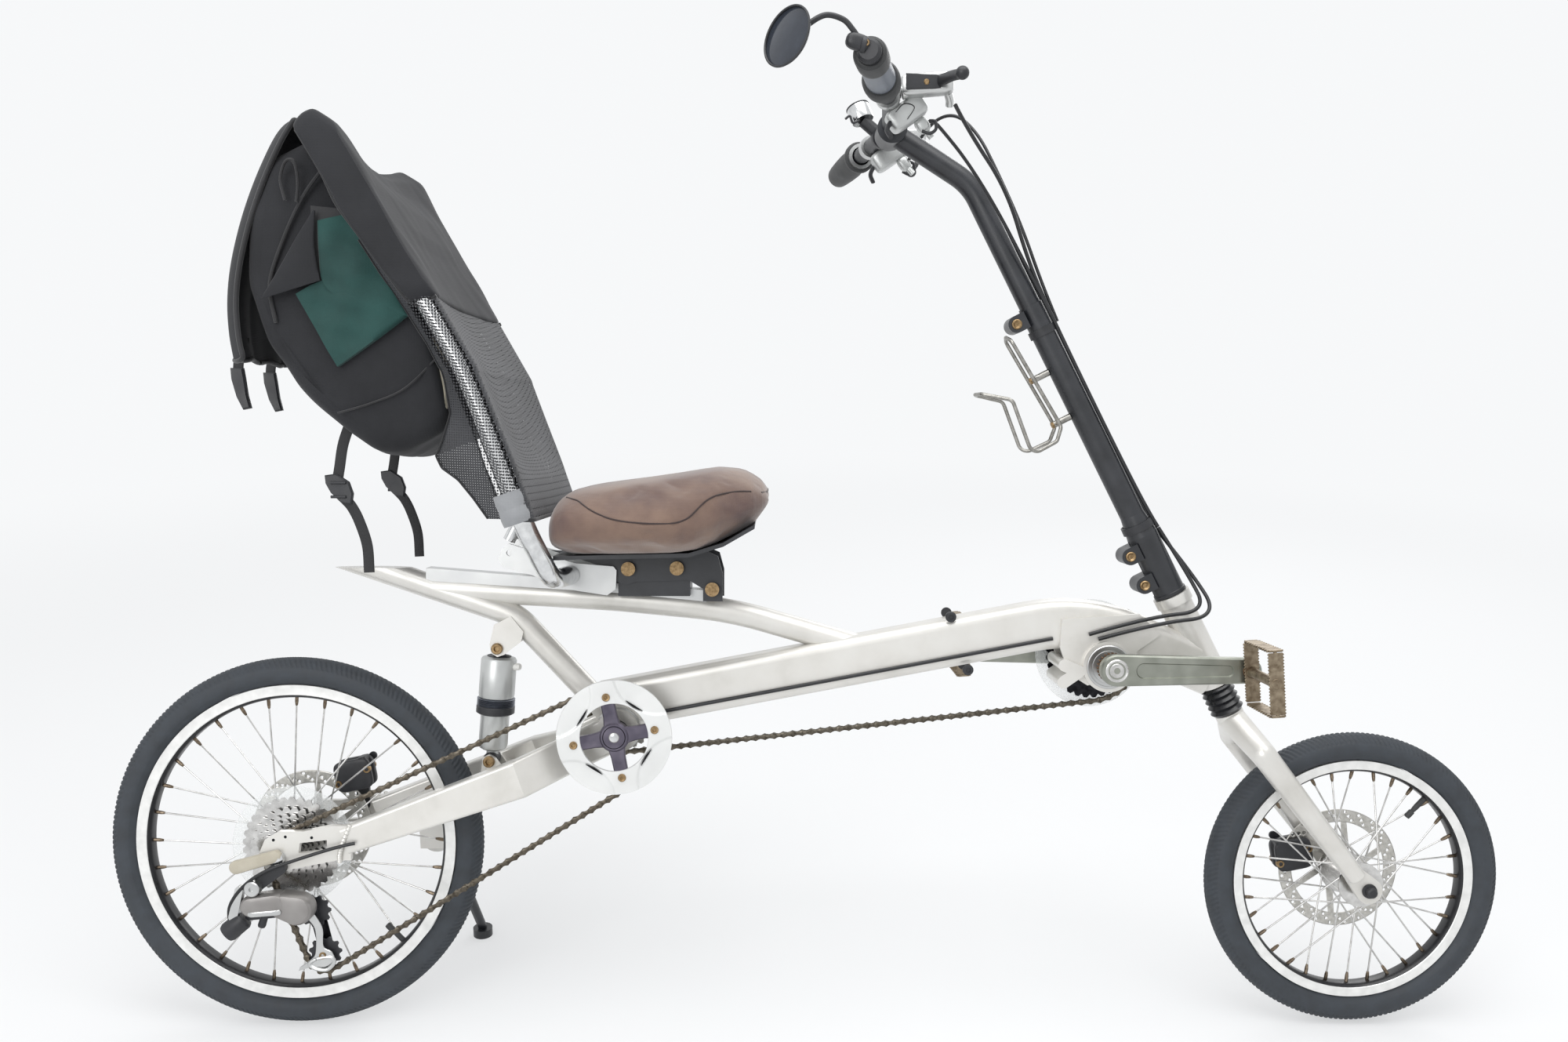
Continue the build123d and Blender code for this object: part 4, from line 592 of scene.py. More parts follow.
# %% Outline round two circles, and a closed surface through outlines
def capsule(a, b, radius_a, radius_b, count=24):
    """An outline round two circles with the same number of points whatever the radii."""
    a, b = np.asarray(a, float), np.asarray(b, float)
    along = unit(b - a)
    lean = np.arcsin((radius_a - radius_b) / np.hypot(*(b - a)))
    base = np.arctan2(along[1], along[0])
    far = base + np.linspace(-np.pi / 2 + lean, np.pi / 2 - lean, count)
    near = base + np.linspace(np.pi / 2 - lean, 3 * np.pi / 2 + lean, count)
    return np.concatenate([b + radius_b * np.stack([np.cos(far), np.sin(far)], 1),
                           a + radius_a * np.stack([np.cos(near), np.sin(near)], 1)])


def stacked(rings):
    """A closed surface through rings of the same count, each an outline of the side view and its y."""
    return grid_shape([np.insert(ring, 1, y, axis=1) for ring, y in rings])

# %% [markdown]
# ## Wheels
# The tread of each tyre is a band of fine slanted ribs with a groove on each side of its middle, and
# thin rings run round the side walls. Each rim is a box section with bright side walls and a black
# face towards the spokes.

# %% Tyres
rear_hub, front_hub = (0.0, rear_axle_height), (1391.0, 194.0)
rear_seat, front_seat = 208.0, 158.5
tyre_half = 20.0


def tyre_shape(hub, outer, seat, around):
    """A round section turned about the hub. Its radius is half the tyre's width less a depth: slanted
    grooves 1.2 mm deep up to 66 degrees from the middle, and two raised rings on each side wall."""
    section = np.radians(np.concatenate([[-128, -122], np.linspace(-114, -52, 15), np.linspace(-48, 48, 25),
                                         np.linspace(52, 114, 15), [122, 128]]))
    wheel = np.linspace(0, 2 * np.pi, around, endpoint=False)[:, None]
    angle = section[None, :]
    tread = np.abs(angle) < radians(66)
    slant = np.sin(wheel * round(outer * 0.92) + 9.0 * np.abs(angle))
    ribs = np.where(slant > 0.1, 1.2, 0.0) * np.clip((radians(66) - np.abs(angle)) * 12, 0, 1)
    grooves = 0.8 * np.exp(-((np.abs(angle) - 0.16) / 0.035) ** 2)
    low_ring, high_ring = (np.exp(-((np.abs(angle) - at) / 0.03) ** 2) for at in (1.12, 1.78))
    depth = np.where(tread, np.maximum(ribs, grooves), -0.35 * (low_ring + high_ring) * 0.6)
    size = tyre_half - 0.35 - depth
    radius = outer - tyre_half + size * np.cos(angle)
    left = size * np.sin(angle)
    inward = np.abs(angle) > radians(120)
    radius = np.where(inward, seat + 0.8, radius)
    left = np.where(inward, np.sign(angle) * 10.6, left)
    x = hub[0] + radius * np.cos(wheel)
    z = hub[1] + radius * np.sin(wheel)
    return grid_shape(np.stack([x, left + 0 * wheel, z], axis=-1), wrap_rows=True, wrap_columns=True)


piece("rear_tyre_tread", tyre_shape(rear_hub, rear_hub[1], rear_seat, 900), tyre_rubber, "rear_wheel",
      ["rear_tyre"], 60)
piece("front_tyre_tread", tyre_shape(front_hub, front_hub[1], front_seat, 720), tyre_rubber,
      "front_wheel", ["front_tyre"], 60)


# %% Rims
def rim_shapes(hub, radius, depth):
    """Two turned rings: the bright bed and side walls, and the black inner face with rounded edges."""
    centre = (hub[0], 0, hub[1])
    wall = [(radius, 12.5), (radius, 9.6), (radius - 6, 9.6), (radius - 6, -9.6), (radius, -9.6),
            (radius, -12.5), (radius - 1.0, -12.5), (radius - 3, -12.2), (radius - depth * 0.72, -12.4),
            (radius - depth * 0.76, -11.8), (radius - depth * 0.76, 11.8), (radius - depth * 0.72, 12.4),
            (radius - 3, 12.2), (radius - 1.0, 12.5)]
    face = [(radius - depth * 0.74, -11.9), (radius - depth * 0.85, -10.4), (radius - depth * 0.96, -8.0),
            (radius - depth, -5.5), (radius - depth, 5.5), (radius - depth * 0.96, 8.0),
            (radius - depth * 0.85, 10.4), (radius - depth * 0.74, 11.9)]
    return [lathe(centre, (0, 1, 0), wall, 160, closed=True),
            lathe(centre, (0, 1, 0), face, 160, closed=True)]


piece("rear_rim_band", rim_shapes(rear_hub, rear_seat, 17.5), [rim_silver, rim_black], "rear_wheel",
      ["rear_rim"])
piece("front_rim_band", rim_shapes(front_hub, front_seat, 15.5), [rim_silver, rim_black], "front_wheel",
      ["front_rim"])


# %% Nipples and tube valves
def nipples(hub, radius, flanges, flange_radius):
    """32 turned nipples on the spokes' lines, each aimed from the rim to its hole in the flange."""
    number = np.arange(32)
    rim_angle = np.radians(number * 11.25)
    lead = np.where(number % 4 < 2, 68.0, -68.0)
    hub_angle = np.radians(number * 11.25 + lead)
    side = np.array(flanges)[number % 2]
    start = np.stack([hub[0] + flange_radius * np.cos(hub_angle), side,
                      hub[1] + flange_radius * np.sin(hub_angle)], 1)
    end = np.stack([hub[0] + radius * np.cos(rim_angle), 0 * side, hub[1] + radius * np.sin(rim_angle)], 1)
    along = unit(start - end)
    across = unit(np.cross(along, [0, 1.0, 0]))
    axes = np.stack([along, across, np.cross(along, across)], axis=2)
    profile = [(0.5, -2.5), (2.4, -2.3), (2.4, 6.5), (2, 9.5), (1.6, 11.5), (1.2, 12)]
    return repeated(lathe((0, 0, 0), (1, 0, 0), profile, 8), end, axes)


def valve(place, hub):
    """A rubber-covered tube valve that stands on the rim and points at the hub."""
    place, hub = np.array([place[0], 0, place[1]]), np.array([hub[0], 0, hub[1]])
    profile = [(3.6, -9), (3.6, 8), (3.2, 13), (2.8, 16), (4, 16.5), (4, 25), (3.4, 27), (0.5, 27.4)]
    return lathe(place - unit(hub - place) * 12, hub - place, profile, 16)


piece("rear_nipples", nipples(rear_hub, 190.2, (31.0, -16.0), 20.5), nipple_metal, "rear_wheel")
piece("front_nipples", nipples(front_hub, 142.7, (22.0, -33.0), 25.5), nipple_metal, "front_wheel")
piece("rear_valve", valve((124.0, 118.5), rear_hub), grip_rubber, "rear_wheel")
piece("front_valve", valve((1475.0, 285.0), front_hub), grip_rubber, "front_wheel")

# %% Brake rotors
rotor_outer, rotor_inner, rotor_core = 80.0, 63.0, 22.0


def rotor_band(hub, y, around=300, rings=17):
    """A flat ring in which every cell nearer than 2.3 mm to a hole's middle is left out. The holes
    stand in slanted rows of three, 24 rows round the ring."""
    radius = np.linspace(rotor_inner, rotor_outer, rings)
    wheel = np.linspace(0, 2 * np.pi, around, endpoint=False)
    x, z = radius[:, None] * np.cos(wheel), radius[:, None] * np.sin(wheel)
    points = np.stack([hub[0] + x, y + 0 * x, hub[1] + z], axis=-1).reshape(-1, 3)
    row, step = np.meshgrid(np.arange(24), np.arange(3), indexing="ij")
    reach, way = 66.8 + 4.8 * step, 2 * np.pi * (row / 24 + step * 0.0125)
    holes = np.stack([reach * np.cos(way), reach * np.sin(way)], axis=-1).reshape(-1, 2)
    ring, place = np.meshgrid(np.arange(rings - 1), np.arange(around), indexing="ij")
    after = (place + 1) % around
    cells = np.stack([ring * around + place, (ring + 1) * around + place, (ring + 1) * around + after,
                      ring * around + after], axis=-1).reshape(-1, 4)
    middle = points[cells].mean(axis=1)[:, [0, 2]] - np.array(hub)
    gap = np.linalg.norm(middle[:, None] - holes[None], axis=-1).min(axis=1)
    return points, cells[gap > 2.3].tolist()


def rotor_arms(hub, y):
    """The carrier, a flat turned ring, and six swept arms from it to the drilled ring."""
    rim = rotor_core + 4
    carrier = [(17.5, y - 1), (rim, y - 1), (rim, y + 1), (17.5, y + 1)]
    parts = [lathe((hub[0], 0, hub[1]), (0, 1, 0), carrier, 60, closed=True)]
    for number in range(6):
        way = number * np.pi / 3
        inner = np.array(hub) + rotor_core * np.array([np.cos(way), np.sin(way)])
        outer = np.array(hub) + (rotor_inner + 1.5) * np.array([np.cos(way + 0.42), np.sin(way + 0.42)])
        parts.append(stacked([(capsule(inner, outer, 4.6, 3.6), place) for place in (y - 0.98, y + 0.98)]))
    return joined(*parts)


for name, hub, y in (("rear", rear_hub, 51.0), ("front", front_hub, 36.5)):
    band = piece(f"{name}_rotor_ring", rotor_band(hub, y), rotor_steel, f"{name}_wheel",
                 [f"{name}_rotor"], 60)
    band_skin = band.modifiers.new("thickness", "SOLIDIFY")
    band_skin.thickness, band_skin.offset = 0.002, 0.0
    piece(f"{name}_rotor_arms", rotor_arms(hub, y), rotor_steel, f"{name}_wheel")

# %% [markdown]
# ## Chains
# A roller chain is pairs of outer and inner plates on pins 12.7 mm apart. Each chain here runs as a
# belt does: straight between the wheels and round them on their pitch circles. The links are laid
# on that line one pitch apart.

# %% The line a chain runs on
def belt(wheels):
    """Dense points of a closed belt round wheels (x, z, pitch radius, side): side 1 is inside it. The
    straight run from one wheel to the next leaves the line of centres by asin((s1 r1 - s2 r2) / L)."""
    runs = []
    for (xa, za, ra, sa), (xb, zb, rb, sb) in zip(wheels, wheels[1:] + wheels[:1]):
        length, heading = np.hypot(xb - xa, zb - za), np.arctan2(zb - za, xb - xa)
        heading += np.arcsin((sa * ra - sb * rb) / length)
        out = np.array([np.sin(heading), -np.cos(heading)])
        runs.append((np.array([xa, za]) + sa * ra * out, np.array([xb, zb]) + sb * rb * out))
    points = []
    for number, (x, z, radius, side) in enumerate(wheels):
        come, go = runs[number - 1][1] - [x, z], runs[number][0] - [x, z]
        start = np.arctan2(come[1], come[0])
        sweep = (side * (np.arctan2(go[1], go[0]) - start)) % (2 * np.pi)
        arc = start + side * np.linspace(0, sweep, max(int(sweep * radius / 2), 3))
        points += [np.stack([x + radius * np.cos(arc), z + radius * np.sin(arc)], axis=1)]
        a, b = runs[number]
        points.append(a + (b - a) * np.linspace(0, 1, max(int(np.hypot(*(b - a)) / 3), 3))[1:-1, None])
    return np.concatenate(points)


def pitch_radius(teeth):
    return chain_pitch / 2 / np.sin(np.pi / teeth)


chain_pitch = 12.7
jack_axis, crank_axis = np.array([423.0, 396.0]), np.array([1052.0, 484.5])
jack_centre, crank_centre = np.insert(jack_axis, 1, 0.0), np.insert(crank_axis, 1, 0.0)
crank_length = 166.0


def chain_links(wheels, y):
    """Plates, pins and rollers laid along the belt, one to a pitch, the pitch stretched to close it."""
    line = belt(wheels)
    closed = np.concatenate([line, line[:1]])
    reach = np.concatenate([[0], np.cumsum(np.hypot(*np.diff(closed, axis=0).T))])
    count = int(round(reach[-1] / chain_pitch / 2) * 2)
    at = np.linspace(0, reach[-1], count, endpoint=False)
    pins = np.stack([np.interp(at, reach, closed[:, 0]), 0 * at + y, np.interp(at, reach, closed[:, 1])],
                    axis=1)
    ahead = np.roll(pins, -1, axis=0)
    along = unit(ahead - pins)
    left = np.broadcast_to([0, 1.0, 0], along.shape)
    axes = np.stack([along, left, np.cross(along, left)], axis=2)
    middle = (pins + ahead) / 2
    half = chain_pitch / 2
    waist = np.array([(-half - 4.1, 0), (-half - 2.9, -2.9), (-half, -4.1), (-half + 3, -2.9), (0, -2.2),
                      (half - 3, -2.9), (half, -4.1), (half + 2.9, -2.9), (half + 4.1, 0),
                      (half + 2.9, 2.9), (half, 4.1), (half - 3, 2.9), (0, 2.2), (-half + 3, 2.9),
                      (-half, 4.1), (-half - 2.9, 2.9)])
    outer = joined(slab(waist, 2.3, 3.2, 0.15), slab(waist, -3.2, -2.3, 0.15))
    inner = joined(slab(waist, 1.25, 2.1, 0.15), slab(waist, -2.1, -1.25, 0.15))
    pin = lathe((0, 0, 0), (0, 1, 0), [(0.1, -3.6), (1.7, -3.5), (1.7, 3.5), (0.1, 3.6)], 8)
    roller = lathe((0, 0, 0), (0, 1, 0), [(3.8, -1.2), (3.8, 1.2)], 10)
    print("links", count, "pitch", round(reach[-1] / count, 3))
    return joined(repeated(outer, middle[::2], axes[::2]), repeated(inner, middle[1::2], axes[1::2]),
                  repeated(pin, pins, axes), repeated(roller, pins, axes))


front_wheels = [(*jack_axis, pitch_radius(23), 1), (*crank_axis, pitch_radius(32), 1)]
rear_wheels = [(*jack_axis, pitch_radius(32), 1), (*rear_hub, pitch_radius(11), 1),
               (52.0, 114.0, pitch_radius(11), 1)]
piece("front_chain_links", chain_links(front_wheels, 47.0), chain_steel, "frame",
      ["front_chain"], 50)
piece("rear_chain_links", chain_links(rear_wheels, -61.0), worn_chain_steel, "frame",
      ["rear_chain"], 50)

# %% [markdown]
# ## Seat
# The cushion is foam in a sewn stretch cover. Its top panel and its side band meet in a curved seam
# that dips along each side. It starts as a loft along its length, and Blender's cloth solver then
# blows it up a little, as foam fills a cover.

# %% Cushion form
cushion_sections = np.array([  # x, half width, bottom z, seam z, crown z at the middle
    (352, 139, 634, 672, 683), (358, 152, 633, 690, 696), (374, 162, 633, 696, 704),
    (400, 168, 634, 691, 709), (429, 171, 635, 682, 713), (460, 172, 636, 677, 717),
    (500, 168, 637, 676, 723), (530, 158, 640, 685, 728), (552, 147, 648, 697, 731),
    (580, 130, 661, 704, 729), (600, 116, 672, 706, 724), (614, 100, 682, 705, 716),
    (621, 84, 690, 703, 708)], float)


def cushion_shape(stations=64, around=72):
    """Rings across the cushion, lofted along it. In each ring the width goes with the cosine to the
    power 0.45 and the height with the sine to the power 0.6: a flat bottom, steep walls, and a top
    that falls 10 mm from its middle to its edges."""
    at = np.linspace(0, 1, stations) ** 0.9
    x = cushion_sections[0, 0] + (cushion_sections[-1, 0] - cushion_sections[0, 0]) * at
    known_x = cushion_sections[:, 0]
    width, low, seam, crown = (np.interp(x, known_x, cushion_sections[:, k]) for k in (1, 2, 3, 4))
    angle = np.linspace(0, 2 * np.pi, around, endpoint=False)
    c, s = np.cos(angle), np.sin(angle)
    side = np.sign(c) * np.abs(c) ** 0.45
    rise = np.sign(s) * np.abs(s) ** 0.6
    y = width[:, None] * side
    middle = (low + seam) / 2 + 4
    top = (crown - middle)[:, None] - 10 * np.abs(side) ** 3
    z = middle[:, None] + np.where(rise > 0, rise * top, rise * (middle - low)[:, None])
    return grid_shape(np.stack([x[:, None] + 0 * y, y, z], axis=-1))


cushion = piece("cushion_cover", cushion_shape(), cushion_cloth, "frame", ["seat_cushion"], 180)


# %% Blow the cushion up
def inflate(thing, voxel_mm, pressure, cap_mm, frames=20):
    """Remeshes a closed piece evenly, swells it as cloth under pressure, and caps each point's move."""
    bpy.context.view_layer.objects.active = thing
    remesh = thing.modifiers.new("remesh", "REMESH")
    remesh.mode, remesh.voxel_size = "VOXEL", voxel_mm / 1000
    bpy.ops.object.select_all(action="DESELECT")
    thing.select_set(True)
    bpy.ops.object.modifier_apply(modifier="remesh")
    start = np.zeros(len(thing.data.vertices) * 3)
    thing.data.vertices.foreach_get("co", start)
    cloth = thing.modifiers.new("cloth", "CLOTH").settings
    cloth.use_pressure, cloth.uniform_pressure_force = True, pressure
    cloth.effector_weights.gravity = 0.0
    cloth.quality = 5
    scene = bpy.context.scene
    for number in range(1, frames + 1):
        scene.frame_set(number)
    bpy.ops.object.modifier_apply(modifier="cloth")
    scene.frame_set(1)
    moved = np.zeros_like(start)
    thing.data.vertices.foreach_get("co", moved)
    step = (moved - start).reshape(-1, 3)
    length = np.linalg.norm(step, axis=1, keepdims=True)
    step *= np.minimum(1, cap_mm / 1000 / np.maximum(length, 1e-9))
    thing.data.vertices.foreach_set("co", (start.reshape(-1, 3) + step).ravel())
    thing.data.polygons.foreach_set("use_smooth", np.ones(len(thing.data.polygons), bool))
    smooth = thing.modifiers.new("smooth", "SUBSURF")
    smooth.levels = smooth.render_levels = 1
    bpy.ops.object.modifier_apply(modifier="smooth")
    print(thing.name, "moved at most", round(float(length.max()) * 1000, 1), "mm")


inflate(cushion, 5.0, 4.0, 5.0)


# %% Seams of the cushion
def on_surface(thing, points, way):
    """Each point pushed along way until it meets the piece, by casting a ray from outside it."""
    tree = BVHTree.FromObject(thing, bpy.context.evaluated_depsgraph_get())
    push = Vector(park_way(way))
    found = []
    for point in park(points):
        hit = tree.ray_cast(Vector(point) - push * 0.3, push)[0]
        found.append(np.array(hit if hit else point))
    return (np.array(found) - origin) @ turn * 1000


cushion_seam = [(372, 700), (389, 697), (405, 688), (429, 678), (460, 673), (503, 672), (523, 679),
                (536, 692), (552, 703), (580, 708), (606, 707)]
seam_line = smooth_path(cushion_seam, 120)
seams = []
for side in (-1, 1):
    line = on_surface(cushion, np.insert(seam_line, 1, side * 100.0, axis=1), (0, -side, 0))
    seams.append(tube(smooth_path(line[::6], 100), 1.1, 8))
nose = np.stack([np.full(40, 590.0), np.linspace(-92, 92, 40), np.full(40, 706.0)], 1)
nose = on_surface(cushion, nose, (-1, 0, 0))
seams.append(tube(smooth_path(nose[::5], 60), 1.0, 8))
piece("cushion_seams", joined(*seams), cushion_thread, "frame")

# %% [markdown]
# The seat's back is a sling of vinyl-coated mesh. It is stretched over the two tubes and wrapped
# round them, and the tubes shine through it there. Near the bottom of each tube the wrapped part
# bulges to the rear, and a grey sleeve covers its lower end.

# %% Mesh sling
back_tube_line = np.array([(354, 118, 600), (341, 150, 634), (331, 160, 664), (297, 164, 762),
                           (263, 168, 852), (215, 170, 936), (160, 173, 1031), (109, 175.5, 1120)])


def tube_at(z, side):
    """Where the seat's tube passes a height, on one side."""
    return np.stack([np.interp(z, back_tube_line[:, 2], back_tube_line[:, 0]),
                     side * np.interp(z, back_tube_line[:, 2], back_tube_line[:, 1]), z], axis=-1)


sling_table = np.array([  # height, reach back past the tube, sag of the front, gap off the tube
    (676, 26, 0.6, 3), (700, 34, 0.4, 3.4),
    (722, 44, 0.6, 3.2), (736, 58, 5, 3.4), (750, 60, 11, 3), (768, 46, 15, 2.4),
    (800, 24, 17, 2.2), (840, 15, 18, 2.2), (880, 12, 17, 2.2), (920, 14, 14, 2.2),
    (960, 18, 10, 2.2), (1000, 20, 8, 2.2)])


def sling_shape(rows=110):
    """Rows up the seat. Each row runs from behind the near tube, half way round its outer side and
    front, across with a shallow hollow, and round the far tube, all in the level plane of its height."""
    z = np.linspace(sling_table[0, 0], sling_table[-1, 0], rows)
    back, sag, gap = (np.interp(z, sling_table[:, 0], sling_table[:, k])[:, None] for k in (1, 2, 3))
    centre = tube_at(z, 1)
    centre_x, half = centre[:, :1], centre[:, 1:2]
    slope = np.abs(np.gradient(centre[:, 0], z))[:, None]
    round_y = 12.5 + gap
    round_x = round_y * np.sqrt(1 + slope ** 2)
    bend = np.linspace(-np.pi / 2, np.pi / 2, 26)[None, :]
    arc_x = centre_x + round_x * (np.sin(bend) - 0.25 * (1 - np.sin(bend)) / 2)
    arc_y = half + round_y * np.cos(bend) ** 0.8
    inner = np.linspace(1, 0.06, 10)[None, :]
    wall_x = centre_x - round_x - back * inner
    wall_y = half - round_y * (0.75 * inner)
    across = np.linspace(0, 1, 42)[None, 1:-1]
    front_y = half * (1 - 2 * across)
    front_x = centre_x + round_x - sag * np.sin(np.pi * across) ** 0.8
    x = np.concatenate([wall_x, arc_x, front_x, arc_x[:, ::-1], wall_x[:, ::-1]], axis=1)
    y = np.concatenate([-wall_y, -arc_y, -front_y, arc_y[:, ::-1], wall_y[:, ::-1]], axis=1)
    return np.stack([x, y, z[:, None] + 0 * x], axis=-1)


sling_points = sling_shape()
sling_bands = [(0, 12, mesh_cloth), (12, 30, stretched_mesh), (30, 82, mesh_cloth), (82, 100, stretched_mesh),
               (100, 111, mesh_cloth)]
sling_parts = [grid_shape(sling_points[:, a:b + 1], wrap_columns=False, caps=False) for a, b,
               _ in sling_bands]
sling = piece("seat_sling", sling_parts, [cloth for _, _, cloth in sling_bands], "frame",
              ["seat_mesh"], 180)
sling_skin = sling.modifiers.new("thickness", "SOLIDIFY")
sling_skin.thickness, sling_skin.offset = 0.0009, 0.0

# %% Binding of the sling and the grey sleeves at the foot of its tubes
hems = [tube(sling_points[:, column], 2.2, 8, flat=0.6) for column in (0, -1)]
hems.append(tube(sling_points[0, 8:-8], 2.4, 8, (0, 0, 1), 0.5))
wraps = []
for side in (-1, 1):
    run = np.linspace(672.0, 708.0, 40)
    wrap_line = tube_at(run, side) + (-4.0, side * 1.0, 0)
    puff = 18.6 + 0.8 * np.abs(np.sin(np.linspace(0, np.pi * 2, 40)))
    wraps.append(tube(wrap_line, puff, 32))
piece("sling_binding", joined(*hems), webbing, "frame")
piece("tube_sleeves", joined(*wraps), pad_grey, "frame")

# %% [markdown]
# The pack is a sleeve like a pillow case over the top of the seat's back. A pouch is sewn to its
# rear, with a lid flap that hangs open behind, a green pocket on each side, and two pairs of straps.

# %% Sleeve over the top of the seat's back
def loop_between(corners, count):
    """Points evenly spaced round a closed outline."""
    corners = np.asarray(corners, float)
    closed = np.concatenate([corners, corners[:1]])
    reach = np.concatenate([[0], np.cumsum(np.hypot(*np.diff(closed, axis=0).T))])
    at = np.linspace(0, reach[-1], count, endpoint=False)
    return np.stack([np.interp(at, reach, closed[:, 0]), np.interp(at, reach, closed[:, 1])], axis=1)


def soften(loop, times):
    """Each point drawn to the mean of its neighbours, several times, which rounds the corners."""
    for _ in range(times):
        loop = 0.5 * loop + 0.25 * (np.roll(loop, 1, axis=0) + np.roll(loop, -1, axis=0))
    return loop


sleeve_corners = [(73, 1126), (84, 1140), (98, 1146), (122, 1131), (161, 1062), (189.5, 1012), (214, 969),
                  (234, 934), (207, 924), (178, 958), (146, 1002), (121, 1037), (104, 1073)]
sleeve_half = 190.0


def sleeve_shape(stations=120, around=170):
    """Sections across the seat. Between the tubes the cloth sags 26 mm at the top, and less down the
    front, where the upper bar holds it out. Each end is a flat panel with an eased edge."""
    loop = soften(loop_between(sleeve_corners, around), 3)
    centre = loop.mean(axis=0)
    y = np.linspace(-1, 1, stations) * sleeve_half
    share = np.abs(y) / sleeve_half
    drop = (1 - np.clip((share - 0.12) / 0.74, 0, 1) ** 1.6)[:, None]
    x = np.broadcast_to(loop[:, 0], (stations, around)).copy()
    z = np.broadcast_to(loop[:, 1], (stations, around)).copy()
    top = np.clip((loop[:, 1] - 1062) / 80, 0, 1) ** 1.3
    front = np.clip((loop[:, 0] - np.interp(loop[:, 1], [920, 1150], [215, 88])) / 14, 0, 1)
    hollow = np.interp(loop[:, 1], [920, 960, 1005, 1026, 1060, 1100, 1150], [9, 9, 5, 0.5, 0.5, 7, 4])
    x -= drop * (hollow * front)[None, :]
    z -= drop * (26 * top)[None, :]
    edge = np.clip((share - 0.93) / 0.07, 0, 1)[:, None]
    shrink = 1 - 0.13 * (1 - np.sqrt(np.clip(1 - edge ** 2, 0, 1)))
    x, z = centre[0] + (x - centre[0]) * shrink, centre[1] + (z - centre[1]) * shrink
    points = np.stack([x, y[:, None] + 0 * x, z], axis=-1)
    wrinkle = ripple(points, [(1.3, 110, (0.5, 0.8, -0.6), 0.4), (0.9, 67, (0.9, -0.5, 0.3), 1.9),
                              (0.6, 41, (0.2, 0.9, 0.8), 2.7)])
    calm = 1 - 0.75 * drop
    points[..., 0] += np.maximum(wrinkle, -0.6) * calm * (1 - 0.5 * edge)
    points[..., 1] += 0.5 * wrinkle * calm
    return grid_shape(points)


piece("bag_sleeve", sleeve_shape(), bag_cloth, "frame", ["seat_bag"], 50)

# %% Pouch behind the sleeve
pouch_corners = [(76, 1122), (104, 1076), (121, 1041), (146, 1006), (178, 962), (207, 926), (222, 884),
                 (233, 842), (241, 796), (225, 778), (176, 756), (147, 756), (114, 778), (57, 836),
                 (26, 880), (4, 950), (10, 1040), (34, 1100)]
pouch_half = 152.0


def pouch_shape(stations=110, around=190):
    """Sections of the hanging pouch. Its middle bulges to the rear and sags, and its side panels
    pull in at the top and at the bottom. Long soft folds run over it."""
    loop = soften(loop_between(pouch_corners, around), 5)
    centre = np.array([128.0, 930.0])
    y = np.linspace(-1, 1, stations) * pouch_half
    share = np.abs(y) / pouch_half
    edge = np.clip((share - 0.86) / 0.14, 0, 1)[:, None]
    shrink = 1 - 0.14 * (1 - np.sqrt(np.clip(1 - edge ** 2, 0, 1)))
    x = centre[0] + (loop[:, 0] - centre[0])[None, :] * shrink
    z = centre[1] + (loop[:, 1] - centre[1])[None, :] * shrink
    low = np.clip((960 - z) / 200, 0, 1)
    rear = np.clip((110 - x) / 100, 0, 1)
    z = z - 7 * (1 - share[:, None] ** 2) * low
    x = x - 4 * (1 - share[:, None] ** 2) * rear
    taper = np.interp(z, [750, 830, 960, 1130], [0.90, 0.985, 1.0, 0.93])
    points = np.stack([x, y[:, None] * taper, z], axis=-1)
    folds = ripple(points, [(3.4, 118, (1.0, 0.3, -0.25), 0.2), (2.0, 70, (0.8, -0.6, -0.5), 1.1),
                            (1.0, 41, (0.3, 1.0, 0.35), 0.5)])
    points[..., 1] -= folds * np.sign(points[..., 1]) * edge
    points[..., 0] += 0.6 * folds * (1 - edge) * rear
    points[..., 2] += 0.5 * folds * (1 - edge) * low
    return grid_shape(points)


piece("bag_pouch", pouch_shape(), bag_cloth, "frame", sharp=55)


# %% Lid flap that hangs open behind the pouch
def flap_shape(rows=90, columns=90):
    """A sheet from the sleeve's top seam down the back. It hangs in folds that deepen downwards,
    and its two sides turn forward round the pouch."""
    down = smooth_path([(76, 0, 1134), (48, 0, 1141), (26, 0, 1137), (2, 0, 1095), (-20, 0, 1040),
                        (-35, 0, 985), (-41, 0, 940), (-40, 0, 900), (-35, 0, 868)], rows)
    share = np.linspace(0, 1, rows)[:, None]
    across = np.linspace(-1, 1, columns)[None, :]
    half = np.interp(share, [0, 0.25, 1], [134, 146, 150])
    folds = (4.0 * np.sin(across * 7.0 + 0.6) + 2.6 * np.sin(across * 13.0 + 1.9 + share * 2)) * share ** 0.8
    x = down[:, :1] + np.abs(folds) * 0.9 + 34 * np.abs(across) ** 5 * np.minimum(share * 4, 1)
    z = down[:, 2:] - 7 * np.abs(across) ** 3 * share + 1.5 * np.sin(across * 16) * share
    return np.stack([x, half * across, z], axis=-1)


flap_points = flap_shape()
flap = piece("bag_lid_flap", grid_shape(flap_points, wrap_columns=False, caps=False), bag_cloth, "frame",
             sharp=180)
flap_skin = flap.modifiers.new("thickness", "SOLIDIFY")
flap_skin.thickness, flap_skin.offset = 0.0022, 0.0
rim_path = np.concatenate([flap_points[8:, 0], flap_points[-1, 1:-1], flap_points[8:, -1][::-1]])
piece("bag_flap_binding", tube(smooth_path(rim_path[::4], 150), 3.0, 10), webbing, "frame")


